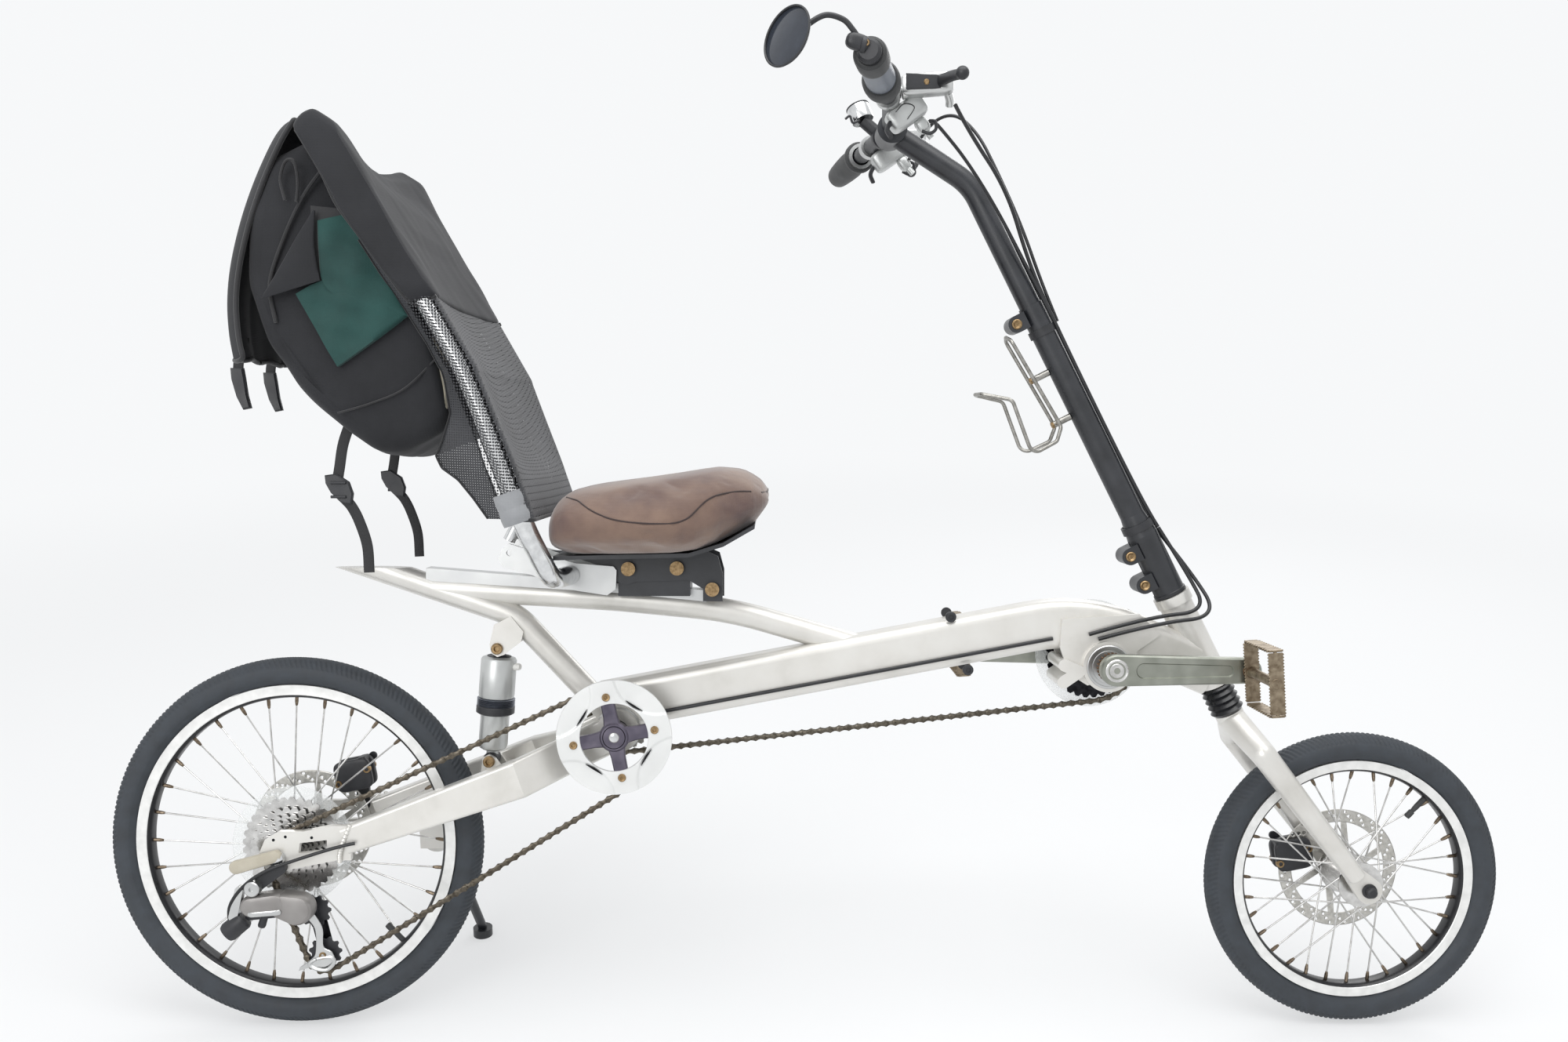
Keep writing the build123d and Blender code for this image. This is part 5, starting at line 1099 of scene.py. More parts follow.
# %% Flat patches sewn to the pack's sides
def patch(front_edge, rear_edge, side, level, depth, folds=(), rows=44, columns=30):
    """A thin sewn panel between two edges of the side view, level mm out, with soft folds of
    (depth, length, direction, phase) in it and a back that lies depth mm further in."""
    front = smooth_path(np.insert(front_edge, 1, 0.0, axis=1), rows)
    rear = smooth_path(np.insert(rear_edge, 1, 0.0, axis=1), rows)
    across = np.linspace(0, 1, columns)[None, :, None]
    face = front[:, None] * (1 - across) + rear[:, None] * across
    relief = ripple(face, folds) if folds else 0.0
    hem_across = np.sin(np.pi * np.linspace(0, 1, columns))[None, :] ** 0.35
    hem = hem_across * np.sin(np.pi * np.linspace(0.02, 0.98, rows))[:, None] ** 0.35
    face[..., 1] = side * (level + (relief + 2.0) * hem)
    inner = face[:, ::-1].copy()
    inner[..., 1] = side * (level - depth)
    return grid_shape(np.concatenate([face, inner], axis=1))


pocket_folds = [(3.2, 95, (0.7, 0, 0.7), 0.9), (2.0, 52, (0.9, 0, -0.4), 2.2), (1.0, 30, (0.2, 0, 1.0), 0.0)]
green_sides, cover_sides, dark_sides = [], [], []
for side in (-1, 1):
    green_sides.append(patch([(123, 1029), (150, 990), (176, 950), (196, 913)],
                             [(93, 1022), (94, 985), (98, 952), (118, 930)], side, 160.0,
                             12.0, pocket_folds))
    green_sides.append(patch([(196, 916), (176, 900), (144, 876), (113, 854)],
                             [(140, 950), (112, 956), (88, 950), (66, 938)], side, 159.0,
                             12.0, pocket_folds))
    cover_sides.append(patch([(92, 1033), (90, 1000), (92, 975), (96, 953)],
                             [(90, 1034), (68, 999), (47, 963), (27, 931)], side, 164.0, 1.6))
    dark_sides.append(patch([(126, 1036), (154, 994), (182, 952), (204, 918)],
                            [(84, 1040), (84, 990), (94, 950), (120, 924)], side, 155.5, 6.0))
piece("bag_side_pockets", joined(*green_sides), green_cloth, "frame", sharp=70)
piece("bag_pocket_covers", joined(*cover_sides), bag_cloth, "frame", sharp=70)
piece("bag_pocket_shadows", joined(*dark_sides), webbing, "frame", sharp=70)

# %% [markdown]
# Straps hang from the pack: one on each side, through a plastic buckle, and two short tails with
# buckles of their own hang from the lid. Webbing is drawn as a flat band with rounded edges. Black
# piping follows the seam between sleeve and pouch, the zip and a low seam, beside a small loop.

# %% Straps, buckles, piping and loops
straps, buckles, piping = [], [], []
strap_path = [(112, 790), (103, 764), (98.5, 738), (95.5, 714), (102, 700),
              (112, 688), (121, 670), (130, 641), (132, 608)]
tail_path = [(-38, 896), (-40, 880), (-45, 866), (-46, 850)]
for side in (-1, 1):
    line = smooth_path([(x, side * 112.0, z) for x, z in strap_path], 80)
    straps.append(tube(line, 6.6, 12, (1, 0, 0.2), 0.14))
    at = np.array([97.5, side * 112.0, 708.0])
    outline = [(-17, 18), (-3, 20), (12, 10), (17, -4), (15, -17), (2, -15), (-10, -3), (-16, 8)]
    buckles.append(slab([(at[0] + dx, at[2] + dz) for dx, dz in outline], at[1] - 3.6, at[1] + 3.6, 1.6))
    for dz in (9.0, -8.0):
        buckles.append(tube([at + (-9.0, side * 4.4, dz), at + (9.0, side * 4.4, dz)], 1.8, 8))
    line = smooth_path([(x, side * 52.0, z) for x, z in tail_path], 40)
    straps.append(tube(line, 6.6, 12, (1, 0, 0.3), 0.14))
    tail = line[-1]
    shape = np.array([(-9, 8), (7, 8), (9, -4), (12, -26), (16, -42), (6, -44), (-2, -28), (-8, -6)], float)
    buckles.append(slab(shape + (tail[0], tail[2]), tail[1] - 4, tail[1] + 4, 2.0))
    seam = [(76, 1122), (104, 1074), (121, 1038), (146, 1003), (178, 959), (207, 925),
            (233, 935)]
    piping.append(tube(smooth_path([(x + 1, side * 178.0, z) for x, z in seam], 90), 2.6, 10))
    loop = [(55, 1046), (50, 1070), (56, 1090), (66, 1090), (70, 1068), (68, 1044)]
    piping.append(tube(smooth_path([(x, side * 156.0, z) for x, z in loop], 60), 2.0, 8))
    zip_line = [(100, 1086), (74, 1050), (50, 1000), (34, 950), (40, 905)]
    piping.append(tube(smooth_path([(x, side * 152.5, z) for x, z in zip_line], 90), 2.4, 8))
    low_seam = [(232, 870), (190, 830), (150, 812), (110, 800)]
    piping.append(tube(smooth_path([(x, side * 151.5, z) for x, z in low_seam], 60), 1.3, 8))
piece("bag_straps", joined(*straps), webbing, "frame")
piece("bag_buckles", joined(*buckles), black_plastic, "frame")
piece("bag_piping", joined(*piping), webbing, "frame")

# %% Beige pads between the pouch and the back
pad_outline = [(206, 806), (236, 806), (240, 850), (232, 892), (212, 892)]
pad_sides = [slab(pad_outline, low, low + 17.0, 3.0) for low in (-143.0, 126.0)]
piece("back_pad", joined(*pad_sides), pad_cloth, "frame")

# %% [markdown]
# ## Drive
# The middle drive has a forged four-armed spider. A chainring is bolted to it, and a scooped guard
# disc hides the ring's teeth. The disc is a turned ring with four lens-shaped dips, each with a slot
# at its inner edge. A dip is written as a lower distance out over the disc's rows and columns.

# %% Guard disc of the middle drive
disc_outer_y = -72.2
lens_angles = (58.0, 148.0, 238.0, 328.0)


def guard_disc_shape(around=240, rings=26):
    """Rows from the inner edge to the rim. The face sinks by up to 1.7 mm inside four lenses, each
    the overlap of the disc with a circle of radius 56 centred 100 mm from the axis."""
    angle = np.linspace(0, 2 * np.pi, around, endpoint=False)[None, :]
    radius = np.linspace(43.5, 72.6, rings)[:, None]
    x, z = radius * np.cos(angle), radius * np.sin(angle)
    dip = np.zeros_like(x)
    for lens in np.radians(lens_angles):
        reach = 56.0 - np.hypot(x - 100.0 * np.cos(lens), z - 100.0 * np.sin(lens))
        dip = np.maximum(dip, 1.7 * np.clip(reach / 2.0, 0, 1))
    face = np.stack([x, disc_outer_y + dip, z], axis=-1)
    rim = np.stack([73.0 * np.cos(angle), 0 * angle + disc_outer_y + 1.0, 73.0 * np.sin(angle)], axis=-1)
    back_rim = rim + (0, 2.4, 0)
    back = np.stack([43.0 * np.cos(angle), 0 * angle + disc_outer_y + 3.4, 43.0 * np.sin(angle)], axis=-1)
    lip = back - (0, 2.6, 0)
    rows = np.concatenate([lip, face, rim, back_rim, back])
    return grid_shape(rows + jack_centre, wrap_rows=True, caps=False)


slots = []
for lens in np.radians(lens_angles):
    along, out = np.array([-np.sin(lens), np.cos(lens)]), np.array([np.cos(lens), np.sin(lens)])
    run = np.linspace(-1, 1, 13)[:, None]
    near = jack_axis + out * (45.8 + 2.2 * run ** 2) + along * 12.5 * run
    far = near + out * 2.6 * (1 - run ** 2)
    ring = np.concatenate([near, far[::-1][1:-1]])
    slots.append(slab(ring, disc_outer_y - 0.25, disc_outer_y + 1.5, 0.1))
piece("guard_disc_face", [guard_disc_shape(), joined(*slots)], [disc_silver, dark_metal], "middle_drive",
      ["guard_disc"], 20)

# %% Spider arms, centre cap and the four bolts
spider_arm = [(12, -11), (26, -9), (56, -8.5), (56, 8.5), (26, 9), (12, 11)]
spider_hub = [(19.5, 62), (19, 70), (16.5, 72.6), (14.6, 72.6), (14.2, 71.4), (13.6, 72.8), (6.6, 73),
              (6.2, 62)]
disc_bolt = [(0, 0.4), (2, 0.4), (2.4, 1.6), (4.4, 1.9), (5.1, 1.2), (5.1, -1)]
spider_parts, bolt_parts = [], []
for number in range(4):
    way = np.radians(11.0 + 90 * number)
    out, along = np.array([np.cos(way), np.sin(way)]), np.array([-np.sin(way), np.cos(way)])
    outline = [jack_axis + out * r + along * w for r, w in spider_arm]
    spider_parts.append(slab(outline, -70.6, -62.6, 1.4))
    bolt = jack_centre + (out[0] * 52.0, disc_outer_y, out[1] * 52.0)
    bolt_parts.append(lathe(bolt, (0, -1, 0), disc_bolt, 24))
spider_parts.append(lathe(jack_centre, (0, -1, 0), spider_hub, 48, closed=True))
cap = lathe(jack_centre, (0, -1, 0), [(0, 73.4), (4.4, 73.4), (5.8, 72.6), (5.8, 62)], 32)
piece("spider_arms", joined(*spider_parts), purple_grey, "middle_drive", sharp=30)
piece("spider_cap", cap, bright_aluminium, "middle_drive")
piece("guard_disc_bolts", joined(*bolt_parts), brass, "middle_drive", sharp=30)

# %% [markdown]
# Each crank arm is a forging that tapers from its boss to the pedal eye, with a long recess milled in
# its face. The two outlines are the same capsule of two circles, drawn once at full size and once
# smaller, so that row joins row.

# %% Crank arms
arm_steps = [(18.5, 14.5, 75.2), (20, 16, 77), (20, 16, 86), (18, 14, 88.6)]
recess_steps = [(10, 7.5, 88.6), (8.6, 6.1, 86.4)]
arm_bolt = [(0, 86.6), (3.6, 86.6), (4, 88.8), (8.6, 89.2), (9.4, 88.4), (10.4, 88.4), (13.2, 89.4),
            (14.4, 88.6), (14.4, 84)]
pedal_pin = [(0, 84), (5, 84), (5.6, 88.8), (7.2, 89.2), (8.6, 88.8), (8.6, 84)]
for side, direction, name in ((-1, 1, "right"), (1, -1, "left")):
    eye = crank_axis + (direction * crank_length, 0.0)
    hub_in, eye_in = crank_axis + (direction * 34.0, 0.0), eye - (direction * 27.0, 0.0)
    rings = [(capsule(crank_axis, eye, big, small), side * out) for big, small, out in arm_steps]
    rings += [(capsule(hub_in, eye_in, big, small), side * out) for big, small, out in recess_steps]
    arm = stacked(rings)
    out = (0, side, 0)
    centre, tip = (crank_axis[0], 0, crank_axis[1]), (eye[0], 0, eye[1])
    bolt, pin = lathe(centre, out, arm_bolt, 36), lathe(tip, out, pedal_pin, 30)
    piece(f"crank_arm_{name}", [arm, bolt, pin], [crank_alloy, bright_steel, rusty_steel], "crank",
          [f"crank_{name}"], 25)

# %% Insert face and the small toothed ring beside the crank
insert_face = lathe((1056.0, 0, 480.0), (0, -1, 0),
                    [(28.3, 30), (28.3, 34.4), (27.2, 35.2), (25.4, 35.2), (25, 34.2), (21.5, 34.2),
                     (21, 35.6), (17, 35.8), (16.4, 30)], 60, closed=True)
toothed = []
for number in range(24):
    way = np.radians(15.0 * number)
    spot = crank_centre + (17.6 * np.cos(way), -66.0, 17.6 * np.sin(way))
    toothed.append(rock(slab([(-1.6, -1.3), (1.8, -0.8), (1.8, 0.8), (-1.6, 1.3)], -4.0, 4.0, 0.3), spot,
                        (np.cos(way), 0, np.sin(way)), (0, 1, 0)))
toothed.append(lathe(crank_centre, (0, -1, 0),
                     [(16.4, 61), (16.4, 71), (10, 72), (10, 61)], 48, closed=True))
piece("insert_face", insert_face, satin_aluminium, "frame", sharp=25)
piece("toothed_ring", joined(*toothed), rusty_steel, "crank", sharp=25)

# %% [markdown]
# The pedals are steel cages: two toothed side plates joined by end plates round a barrel that turns
# on the pedal's axle. Each hangs almost upright, turned 86 degrees about its axle.

# %% Cage pedals
def cage_pedal(side):
    """Two plates with a row of teeth, two end plates and the barrel, in the pedal's own frame: x
    along the cage, y along the axle and z across it. Then it is turned and moved to its eye."""
    run = np.linspace(-37, 37, 41)
    teeth = np.stack([run, 8.2 + 1.6 * (np.arange(41) % 2)], axis=1)
    comb = np.concatenate([teeth, (teeth * (1, -1))[::-1]])
    parts = []
    for y in (-40.6, 38.2):
        parts.append(slab(comb, y, y + 2.4, 0.3))
    for x in (-40.5, 38.0):
        rail = np.array([(x, -7.6), (x + 2.5, -7.6), (x + 2.5, 7.6), (x, 7.6)])
        parts.append(slab(rail, -40.6, 40.6, 0.4))
    for x in (-40.4, 38.0):
        for step in range(11):
            for low in (7.2, -9.8):
                tooth = [(x, low), (x + 2.4, low), (x + 2.4, low + 2.6), (x, low + 2.6)]
                parts.append(slab(tooth, -38 + step * 7.0, -35 + step * 7.0, 0.2))
    for x in (-38.0, 38.0):
        parts.append(tube([(x, -38.0, 0), (x * 0.2, -38.0, 0)], 2.2, 8))
    barrel = lathe((0, 0, 0), (0, 1, 0), [(0, -41), (6, -41), (7.4, -39.5), (7, -34), (6.2, -24),
                                          (6.2, 24), (7, 34), (8, 40), (7, 42), (0, 42)], 28)
    way = np.radians(86.0)
    spin = np.array([[np.cos(way), 0, -np.sin(way)], [0, 1, 0], [np.sin(way), 0, np.cos(way)]])
    eye = crank_centre + (-side * crank_length, side * 135.0, 0)
    axle = lathe((eye[0], 0, eye[2]), (0, side, 0), [(0, 84), (6, 84), (6, 94), (0, 94)], 20)
    cage = joined(*parts)
    return (cage[0] @ spin + eye, cage[1]), joined((barrel[0] @ spin + eye, barrel[1]), axle)


for side, name in ((-1, "right"), (1, "left")):
    cage, barrel = cage_pedal(side)
    piece(f"cage_pedal_{name}", [cage, barrel], [pedal_metal, pedal_metal], f"pedal_{name}",
          [f"pedal_{name}"], 30)

# %% [markdown]
# The rear derailleur hangs below the dropout: a silver pivot bolt, a grey two-part body, a black
# barrel at its rear, and a silver cage with a hooked tail that carries two black pulleys.

# %% Rear derailleur
def puffed(outline, y_out, y_in):
    """A cast cover: its outline at y_in, drawn in by steps towards y_out so that its edge is round."""
    outline = np.asarray(outline, float)
    centre = outline.mean(axis=0)
    steps = [(1, 0), (1, 0.55), (0.96, 0.8), (0.86, 0.94), (0.6, 1)]
    return stacked([(centre + (outline - centre) * share, y_in + (y_out - y_in) * rise)
                    for share, rise in steps])


pivot = lathe((-26.0, 0, 209.0), (0, -1, 0), [(0, 93), (3, 93), (3.4, 95.4), (8.4, 95.8),
                                              (9.6, 94.6), (9.6, 82)], 32)
hanger = stacked([(capsule((4.0, 232.0), (-24.0, 211.0), 8.5, 8.5), y) for y in (-75.5, -84.0)])
body_rear = puffed(capsule((-30.0, 186.0), (2.0, 190.0), 13.0, 13.5), -97.0, -76.0)
body_front = puffed(capsule((10.0, 186.0), (28.0, 181.0), 16.5, 19.5), -95.5, -74.0)
band = puffed(capsule((-28.0, 178.0), (8.0, 181.0), 3.4, 3.6), -99.0, -90.0)
lower_arm = stacked([(capsule((-34.0, 171.0), (4.0, 174.0), 5.0, 4.0), y) for y in (-72.0, -84.0)])
barrel = lathe((-52.0, -84.0, 158.0), (-0.75, -0.2, -0.62),
               [(0, -16), (10.5, -16), (12.5, -13), (12.8, 9), (11, 13), (4, 13), (3.6, 11), (0, 11)], 30)
screw = lathe((-18.0, -80.0, 164.0), (-0.3, 0, -0.95), [(0, -9), (4.6, -9), (5, 6), (4.2, 8), (0, 8)], 20)
link = stacked([(capsule((-44.0, 206.0), (-52.0, 172.0), 5.0, 5.5), y) for y in (-80.0, -90.0)])
cage_front = smooth_path([(30, 0, 180), (44, 0, 168), (53, 0, 150), (54, 0, 128), (64, 0, 121),
                          (67, 0, 110), (56, 0, 101), (40, 0, 101), (22, 0, 96)], 44)
cage_rear = smooth_path([(24, 0, 101), (38, 0, 111), (44, 0, 120), (44, 0, 148),
                         (36, 0, 162), (26, 0, 170)], 30)
cage_side = np.concatenate([cage_front, cage_rear])[:, ::2]
cage_plate = slab(cage_side, -72.4, -69.8, 0.7)
loop_ring = tube(smooth_path([(46, -71.5, 112), (62, -71.5, 114), (67, -71.5, 107), (58, -71.5, 98),
                              (44, -71.5, 99), (36, -71.5, 105)], 60, closed=True), 2.6, 10)
tension_bolt = lathe((53.0, 0, 116.0), (0, -1, 0),
                     [(0, 72), (1.8, 72), (2.2, 73.4), (4.2, 73.8), (4.6, 72.6), (4.6, 66)], 20)
changer_silver = joined(pivot, cage_plate, loop_ring, link)
changer_grey = joined(body_rear, body_front)
changer_black = joined(hanger, lower_arm, barrel, screw)
upper_pulley, lower_pulley = (40.0, 170.0), (53.0, 116.0)
pulleys = []
for place, turn_share in ((upper_pulley, 0.0), (lower_pulley, 0.4)):
    corner = np.arange(44)
    reach = np.where(corner % 4 < 2, 25.4, 21.2)
    way = 2 * np.pi * (corner + turn_share) / 44
    ring = np.array(place) + reach[:, None] * np.stack([np.cos(way), np.sin(way)], 1) * 0.83
    pulleys.append(slab(ring, -62.4, -59.6, 0.5))
    pulleys.append(lathe((place[0], 0, place[1]), (0, -1, 0),
                         [(0, 56), (6, 56), (6, 66), (0, 66)], 20))
inner_cage = slab(capsule(upper_pulley, lower_pulley, 10.0, 10.0), -56.2, -54.4, 0.5)
changer_shapes = [changer_grey, changer_silver, changer_black, joined(*pulleys), inner_cage, tension_bolt,
                  band]
changer_finishes = [changer_cast, satin_aluminium, black_plastic, black_plastic, dark_metal, brass,
                    satin_aluminium]
piece("derailleur_body", changer_shapes, changer_finishes, "frame", ["derailleur"], 30)

# %% Quick release lever and nut, dropout holes and the dropout's weld
lever = puffed(capsule((0.0, 247.0), (-50.0, 233.0), 7.5, 8.5), -85.5, -78.5)
rear_axle = (0, 0, rear_axle_height)
lever_pivot = lathe(rear_axle, (0, -1, 0), [(0, 85), (4, 85), (9, 83), (9.8, 80),
                                                (9.8, 75.8), (0, 75.8)], 30)
nut = lathe(rear_axle, (0, 1, 0), [(0, 88), (5, 88), (8, 85), (9.8, 82), (9.8, 75.8),
                                       (0, 75.8)], 30)
skewers = [tube([(0, near, rear_axle_height), (0, near + 8.5, rear_axle_height)], 5.0, 16)
           for near in (-75.5, 67.0)]
piece("axle_release", [lever, joined(lever_pivot, nut, *skewers)],
      [beige_plastic, bright_aluminium], "frame", ["rear_release"], 30)
small_holes = [lathe((x, 0, z), (0, side, 0), [(0, 75.2), (1.9, 75.2), (1.9, 75.7), (0, 75.7)], 14)
               for x, z in ((-5.0, 266.0), (10.0, 270.0), (43.0, 269.0)) for side in (-1, 1)]
piece("dropout_holes", joined(*small_holes), dark_metal, "frame")
beads = []
for side in (-1, 1):
    bead_line = smooth_path([(92.0, side * 76.5, 286.0), (84.0, side * 78.3, 266.0),
                             (79.0, side * 78.3, 250.0), (78.0, side * 76.5, 238.0)], 40)
    bead_size = 3.0 + 0.7 * np.sin(np.arange(40) * 2.1)
    beads.append(tube(bead_line, bead_size, 10))
piece("dropout_welds", joined(*beads), silver_lacquer, "frame")

# %% [markdown]
# ## Handlebar controls
# Each grip is turned about the bar: a rubber end, a barrel and a flange. The right one is a twist
# grip with a grey barrel. The lever bodies are silver castings with a black cover plate, and each
# lever ends in a black ball. Below them sit the shifter pods, and beside them the bell.

# %% Grips
bar_ends = {side: np.array([722.0, side * 306.0, 1172.0]) for side in (-1, 1)}
bar_knees = {side: np.array([764.0, side * 90.0, 1176.0]) for side in (-1, 1)}
bar_ways = {side: unit(bar_knees[side] - bar_ends[side]) for side in (-1, 1)}
twist_end = [(0, -5), (15, -5), (17.6, -3), (18.6, 2), (18.6, 26), (17.4, 30), (13, 30), (0, 30)]
twist_barrel = [(13, 29), (16.6, 29), (16.8, 60), (17.4, 98), (14, 98)]
twist_ring = [(13, 97), (19.6, 97), (21.6, 101), (22, 112), (21.4, 122), (19, 128), (13, 129)]
left_grip = [(0, -5), (13, -5), (16.4, -2), (17.2, 8), (18.6, 40), (19.2, 70), (17.6, 96), (16.6, 112),
             (13, 113)]
left_ring = [(13, 113), (20.6, 113), (21.8, 116), (21.8, 121), (19.4, 123), (13, 123)]
left_collar = [(13, 123), (17.6, 123), (17.6, 129), (13, 129)]
end_right, way_right = bar_ends[-1], bar_ways[-1]
end_left, way_left = bar_ends[1], bar_ways[1]
rubber = joined(lathe(end_right, way_right, twist_end, 40),
                lathe(end_right, way_right, twist_ring, 44, closed=True),
                lathe(end_left, way_left, left_grip, 40),
                lathe(end_left, way_left, left_ring, 40, closed=True))
piece("bar_grips", [rubber, lathe(end_right, way_right, twist_barrel, 40, closed=True),
                    lathe(end_left, way_left, left_collar, 36, closed=True)],
      [grip_rubber, grey_plastic, satin_aluminium], "steering", ["grips"], 35)


# %% Brake levers
def pod(centre, size, along, up, power=0.5):
    """A rounded block: a superellipsoid of a small power, laid along one way, its third axis near up."""
    u = np.linspace(0.001, np.pi - 0.001, 22)[:, None]
    v = np.linspace(0, 2 * np.pi, 36, endpoint=False)[None, :]
    bend = lambda wave: np.sign(wave) * np.abs(wave) ** power
    x = bend(np.cos(u)) + 0 * v
    y = bend(np.sin(u)) * bend(np.cos(v))
    z = bend(np.sin(u)) * bend(np.sin(v))
    rows = np.stack([x * size[0] / 2, y * size[1] / 2, z * size[2] / 2], axis=-1)
    x_way = unit(along)
    z_way = unit(np.asarray(up, float) - np.dot(up, x_way) * x_way)
    base = np.stack([x_way, np.cross(z_way, x_way), z_way])
    points, faces = grid_shape(rows)
    return points @ base + np.asarray(centre), faces


silver_parts, black_parts, pin_parts = [], [], []
for side in (-1, 1):
    seat = bar_knees[side] - bar_ways[side] * 43.0
    silver_parts.append(lathe(seat, bar_ways[side],
                              [(11.3, -7), (15, -7), (15.4, -5), (15.4, 5), (15, 7), (11.3, 7)], 36,
                              closed=True))
    silver_parts.append(pod((802.0, side * 134.0, 1188.0), (62.0, 24.0, 25.0), (1, side * 0.1, 0.06),
                            (0, 0, 1), 0.32))
    silver_parts.append(tube(smooth_path([(772.0, side * 132.0, 1180.0), (786.0, side * 132.0, 1184.0),
                                          (800.0, side * 133.0, 1187.0)], 14), 9.0, 18))
    silver_parts.append(tube(smooth_path([(826.0, side * 128.0, 1184.0), (831.0, side * 118.0, 1176.0),
                                          (832.0, side * 112.0, 1170.0)], 14), 5.0, 14))
    cover = [(776, 1180), (824, 1180), (829, 1184), (829, 1196), (776, 1198)]
    black_parts.append(slab(cover, *sorted((side * 144.0, side * 147.4)), 0.8))
    blade = smooth_path([(814.0, side * 140.0, 1190.0), (826.0, side * 176.0, 1187.0),
                         (832.0, side * 216.0, 1178.0), (826.0, side * 252.0, 1168.0)], 50)
    thick = np.interp(np.linspace(0, 1, 50), [0, 0.15, 0.7, 1], [8.0, 7.0, 5.4, 5.0])
    black_parts.append(tube(blade, thick, 18, (0, 0, 1), 0.55))
    black_parts.append(pod((826.0, side * 255.0, 1168.0), (15.0, 15.0, 15.0), (1, 0, 0), (0, 0, 1), 1.0))
    pin_parts.append(lathe((800.0, side * 134.0, 1188.0), (0, side, 0),
                           [(0, 14.2), (2.6, 14.4), (3.4, 13.6), (3.4, 12)], 20))
piece("brake_lever_pair", [joined(*silver_parts), joined(*black_parts), joined(*pin_parts)],
      [satin_aluminium, black_plastic, brass], "steering", ["brake_levers"], 35)

# %% Shifter pods
pods, pod_black, pod_seams = [], [], []
for side in (-1, 1):
    pods.append(pod((780.0, side * 112.0, 1160.0), (50.0, 30.0, 27.0), (0.82, 0, 0.57), (0, 0, 1), 0.38))
    pods.append(pod((800.0, side * 106.0, 1148.0), (20.0, 16.0, 16.0), (0.6, 0, -0.8), (1, 0, 0), 0.7))
    pods.append(tube([(806.0, side * 104.0, 1141.0), (812.0, side * 103.0, 1134.0)], 4.0, 14))
    hook = [(808.0, side * 112.0, 1152.0), (814.0, side * 116.0, 1150.0), (815.0, side * 117.0, 1141.0),
            (808.0, side * 117.0, 1136.0), (799.0, side * 114.0, 1139.0)]
    pod_black.append(tube(smooth_path(hook, 36), 2.0, 10))
    pod_black.append(tube(smooth_path([(762.0, side * 118.0, 1150.0), (756.0, side * 126.0, 1138.0),
                                       (760.0, side * 132.0, 1128.0)], 20), 5.0, 14, (0, 1, 0), 0.6))
    pod_seams.append(tube(smooth_path([(766.0, side * 127.2, 1158.0), (776.0, side * 127.6, 1168.0),
                                       (788.0, side * 127.4, 1164.0), (780.0, side * 127.2, 1150.0)], 40),
                          0.5, 6))
piece("shifter_pods", [joined(*pods), joined(*pod_black), joined(*pod_seams)],
      [changer_cast_light, black_plastic, dark_metal], "steering", ["shifters"], 40)

# %% Bell and mirror
bell_up = unit((-0.35, 0.25, 0.9))
bell_foot = np.array([740.0, 62.0, 1196.0])
bell_barrel = lathe(bell_foot, bell_up, [(0, -2), (14.6, -2), (15.2, 0), (15.4, 17), (14.8, 19.6),
                                         (13.4, 20.6), (0, 22)], 44)
bell_lip = lathe(bell_foot, bell_up, [(13.2, 20.4), (15.8, 19.6), (16, 18.6), (15.2, 17.8),
                                      (13.2, 18.6)], 44, closed=True)
bell_seat = np.array([772.0 - 8.0 * 62 / 90, 62.0, 1165.0 + 11.0 * 62 / 90])
bell_band = [(11.3, -8), (14.5, -8), (15, -6), (15, 6), (14.5, 8), (11.3, 8)]
bell_thumb = smooth_path([(735, 50, 1192), (726, 46, 1188), (722, 44, 1196),
                          (716, 43, 1192)], 24)
bell_clamp = joined(tube([bell_seat, bell_foot - bell_up * 2], 8.5, 20),
                    lathe(bell_seat, unit(np.array([-8.0, 90.0, 11.0])), bell_band, 32, closed=True),
                    tube(bell_thumb, 1.6, 8))
piece("bell_parts", [bell_barrel, joined(bell_clamp, bell_lip)], [bright_aluminium, black_plastic],
      "steering", ["bell"], 30)

facing = unit((-0.72, -0.68, 0.2))
mirror_centre = np.array([637.0, -330.0, 1181.0])
mirror_shell = lathe(mirror_centre, facing, [(0, -7), (10, -6.8), (23, -4), (31, 0.8), (33, 3.2),
                                             (33, 4.4), (31.6, 4.9), (30.8, 4), (30.8, 2), (0, 2)], 64)
# The mirror's glass disc carries the painted reflection: a dark colour stands in for what it would reflect.
mirror_disc = lathe(mirror_centre, facing, [(0, 2.6), (30.4, 2.6), (31, 2.3), (31, 1.8)], 64)
mirror_socket = lathe(mirror_centre, facing, [(0, -10.5), (5.5, -10.5), (7.5, -8), (8.5, -4),
                                              (0, -4)], 24)
mirror_stem = tube(smooth_path([(712, -318, 1180), (702, -321, 1193), (692, -323, 1202),
                                (674, -326, 1205), (656, -327, 1195), (643, -324, 1183)], 70), 3.0, 14)
plug_clamp = joined(lathe(end_right, -way_right,
                          [(0, 0), (12.5, 0), (13.5, 3), (13, 13), (10, 17), (0, 17)], 30),
                    pod((708.0, -319.0, 1180.0), (26.0, 15.0, 17.0), (-0.9, -0.1, 0.25), (0, 0, 1), 0.7),
                    lathe((715.0, -318.0, 1177.0), (-0.95, 0, 0.2),
                          [(8.6, -2), (9.6, -1), (9.6, 3), (8.6, 4)], 24, closed=True))
mirror_screw = lathe((716.0, -322.0, 1178.0), (0, -1, 0),
                     [(0, 3), (1.6, 3), (2, 4.2), (3.6, 4), (3.6, 0)], 16)
mirror_shapes = [joined(mirror_shell, mirror_socket, mirror_stem, plug_clamp), mirror_disc, mirror_screw]
piece("mirror_parts", mirror_shapes, [black_plastic, mirror_painted_reflection, brass], "steering",
      ["mirror"], 30)

